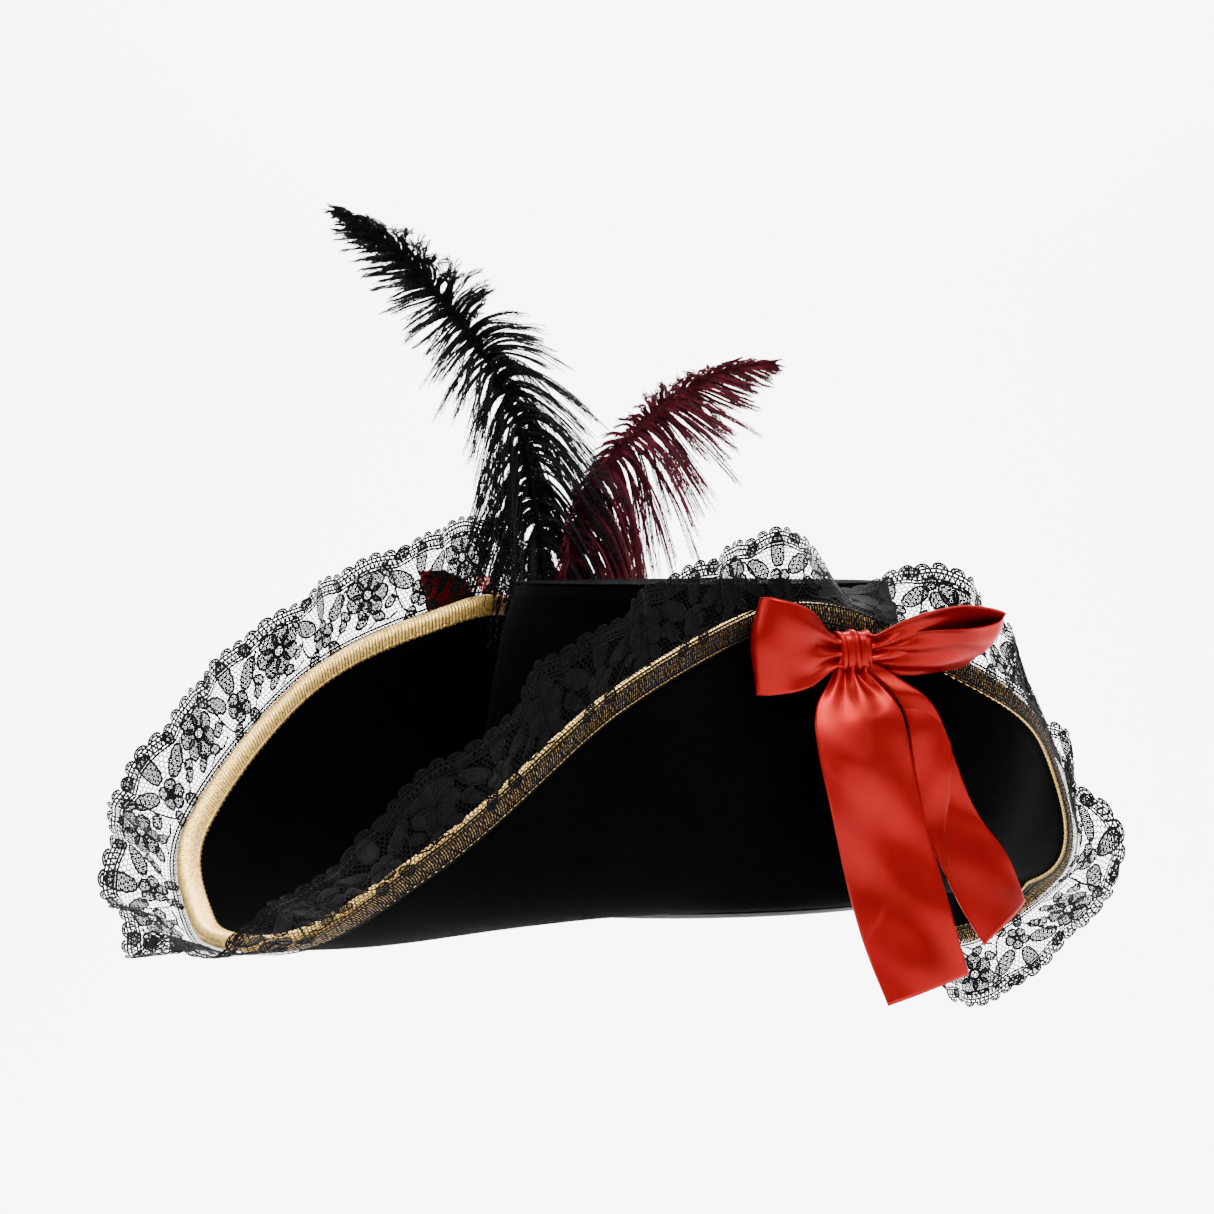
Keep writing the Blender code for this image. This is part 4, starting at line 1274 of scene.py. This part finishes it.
def add_barbs(colour, spine, heading, finish):
    """Both rows of drooping barbs, each fringed with fine barbules."""
    sweep = unit(heading)
    across = np.array([-sweep[1], sweep[0], 0.0])
    path = spine[:, :3]
    tangents = unit(np.gradient(path, axis=0))
    bare = int(len(path) * BARE_SHARE)
    taper = 1 - 0.6 * np.linspace(0, 1, BARB_STEPS)[:, None]
    blocks = []
    quads = []
    triangles = []
    total = 0
    for sign, column in ((1.0, 3), (-1.0, 4)):
        for k in range(BARB_ROWS):
            if k % BARB_CLUMP == 0:
                clump_spread = random.uniform(-0.75, 0.75)
                clump_length = random.uniform(0.72, 1.12)
                clump_sway = random.uniform(0, 2 * math.pi)
            at = bare + (len(path) - 2 - bare) * (k + random.uniform(0, 0.9)) / BARB_ROWS
            i = min(int(at), len(path) - 1)
            share = i / len(path)
            run = tangents[i]
            aside = unit(sweep * run[2] - np.array([0, 0, 1]) * (sweep @ run)) * sign
            length = spine[i, column] * clump_length * random.uniform(0.88, 1.08)
            curly = sign < 0 and share > CURLY_FROM
            if curly:
                length *= CURLY_LENGTH
            length *= np.interp(share, SPINE_SHARES, BARB_GROWTH)
            spread = clump_spread + random.uniform(-0.16, 0.16)
            sway = clump_sway + random.uniform(-0.5, 0.5)
            start = path[i] + aside * QUILL_RADIUS * 0.1
            gather = (k % BARB_CLUMP - (BARB_CLUMP - 1) / 2) * (len(path) / BARB_ROWS) * 0.0006
            line = barb_line(start, run, aside, across, share, length, spread, sway, gather, curly)
            along = unit(np.gradient(line, axis=0))
            flat = unit(np.cross(along, across + 0.3 * random.uniform(-1, 1, 3)))
            half = BARB_WIDTH / 2 * taper
            strip = np.stack([line - flat * half, line + flat * half], axis=1).reshape(-1, 3)
            quads += grid_faces(BARB_STEPS, 2, start=total)
            fringe = barb_fringe(line, along, length)
            first = total + len(strip) + np.arange(0, len(fringe), 3)
            triangles += np.stack([first, first + 1, first + 2], axis=1).tolist()
            blocks += [strip, fringe]
            total += len(strip) + len(fringe)
    body = colour + "_plume"
    replaced = [colour + "_feather_front_barbs", colour + "_feather_back_barbs"]
    made = make_piece(colour + "_barbs", np.vstack(blocks), quads + triangles, [finish], body, replaced)


def add_plumes():
    """Black plume that leans forward and burgundy plume that leans back."""
    looks = (
        ("black", BLACK_ROOT, BLACK_HEADING, BLACK_STATIONS, (0.0014, 0.0014, 0.0017)),
        ("burgundy", BURGUNDY_ROOT, BURGUNDY_HEADING, BURGUNDY_STATIONS, (0.040, 0.003, 0.007)),
    )
    for colour, root, heading, stations, tint in looks:
        spine = spine_of(root, heading, stations)
        shaft = tuple(c * 0.8 + 0.001 for c in tint)
        add_quill(colour, spine, quill_material(colour + "_horn", shaft))
        add_barbs(colour, spine, heading, plume_material(colour + "_barb", tint))


# ---------------------------------------------------------------- small hard parts

def dress_node(name, finish):
    """Give a shown CAD node its own finish."""
    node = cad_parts[name]
    node.data.materials.clear()
    node.data.materials.append(finish)


def add_small_parts(felt):
    """Steel brim wire and its ferrule, and the felt pad behind the quills."""
    steel = Shader("steel_wire", (0.55, 0.55, 0.56), 0.35, 1.0)
    steel.vary_roughness(steel.noise(400), 0.28, 0.5)
    dress_node("brim_wire", steel.material)
    dress_node("wire_ferrule", steel.material)
    dress_node("feather_patch", felt)


black_velvet, buckram = add_crown()
add_brim(black_velvet, buckram)
rim_length = add_braid()
add_lace(rim_length)
red_satin = satin_material()
for bow_side in ("left", "right"):
    add_bow(bow_side, red_satin)
add_plumes()
add_small_parts(buckram)
add_camera()
for light_name, light_place, light_size, light_power, light_aim in LIGHTS:
    add_area_light(light_name, light_place, light_size, light_power, light_aim)
add_floor()
add_world()
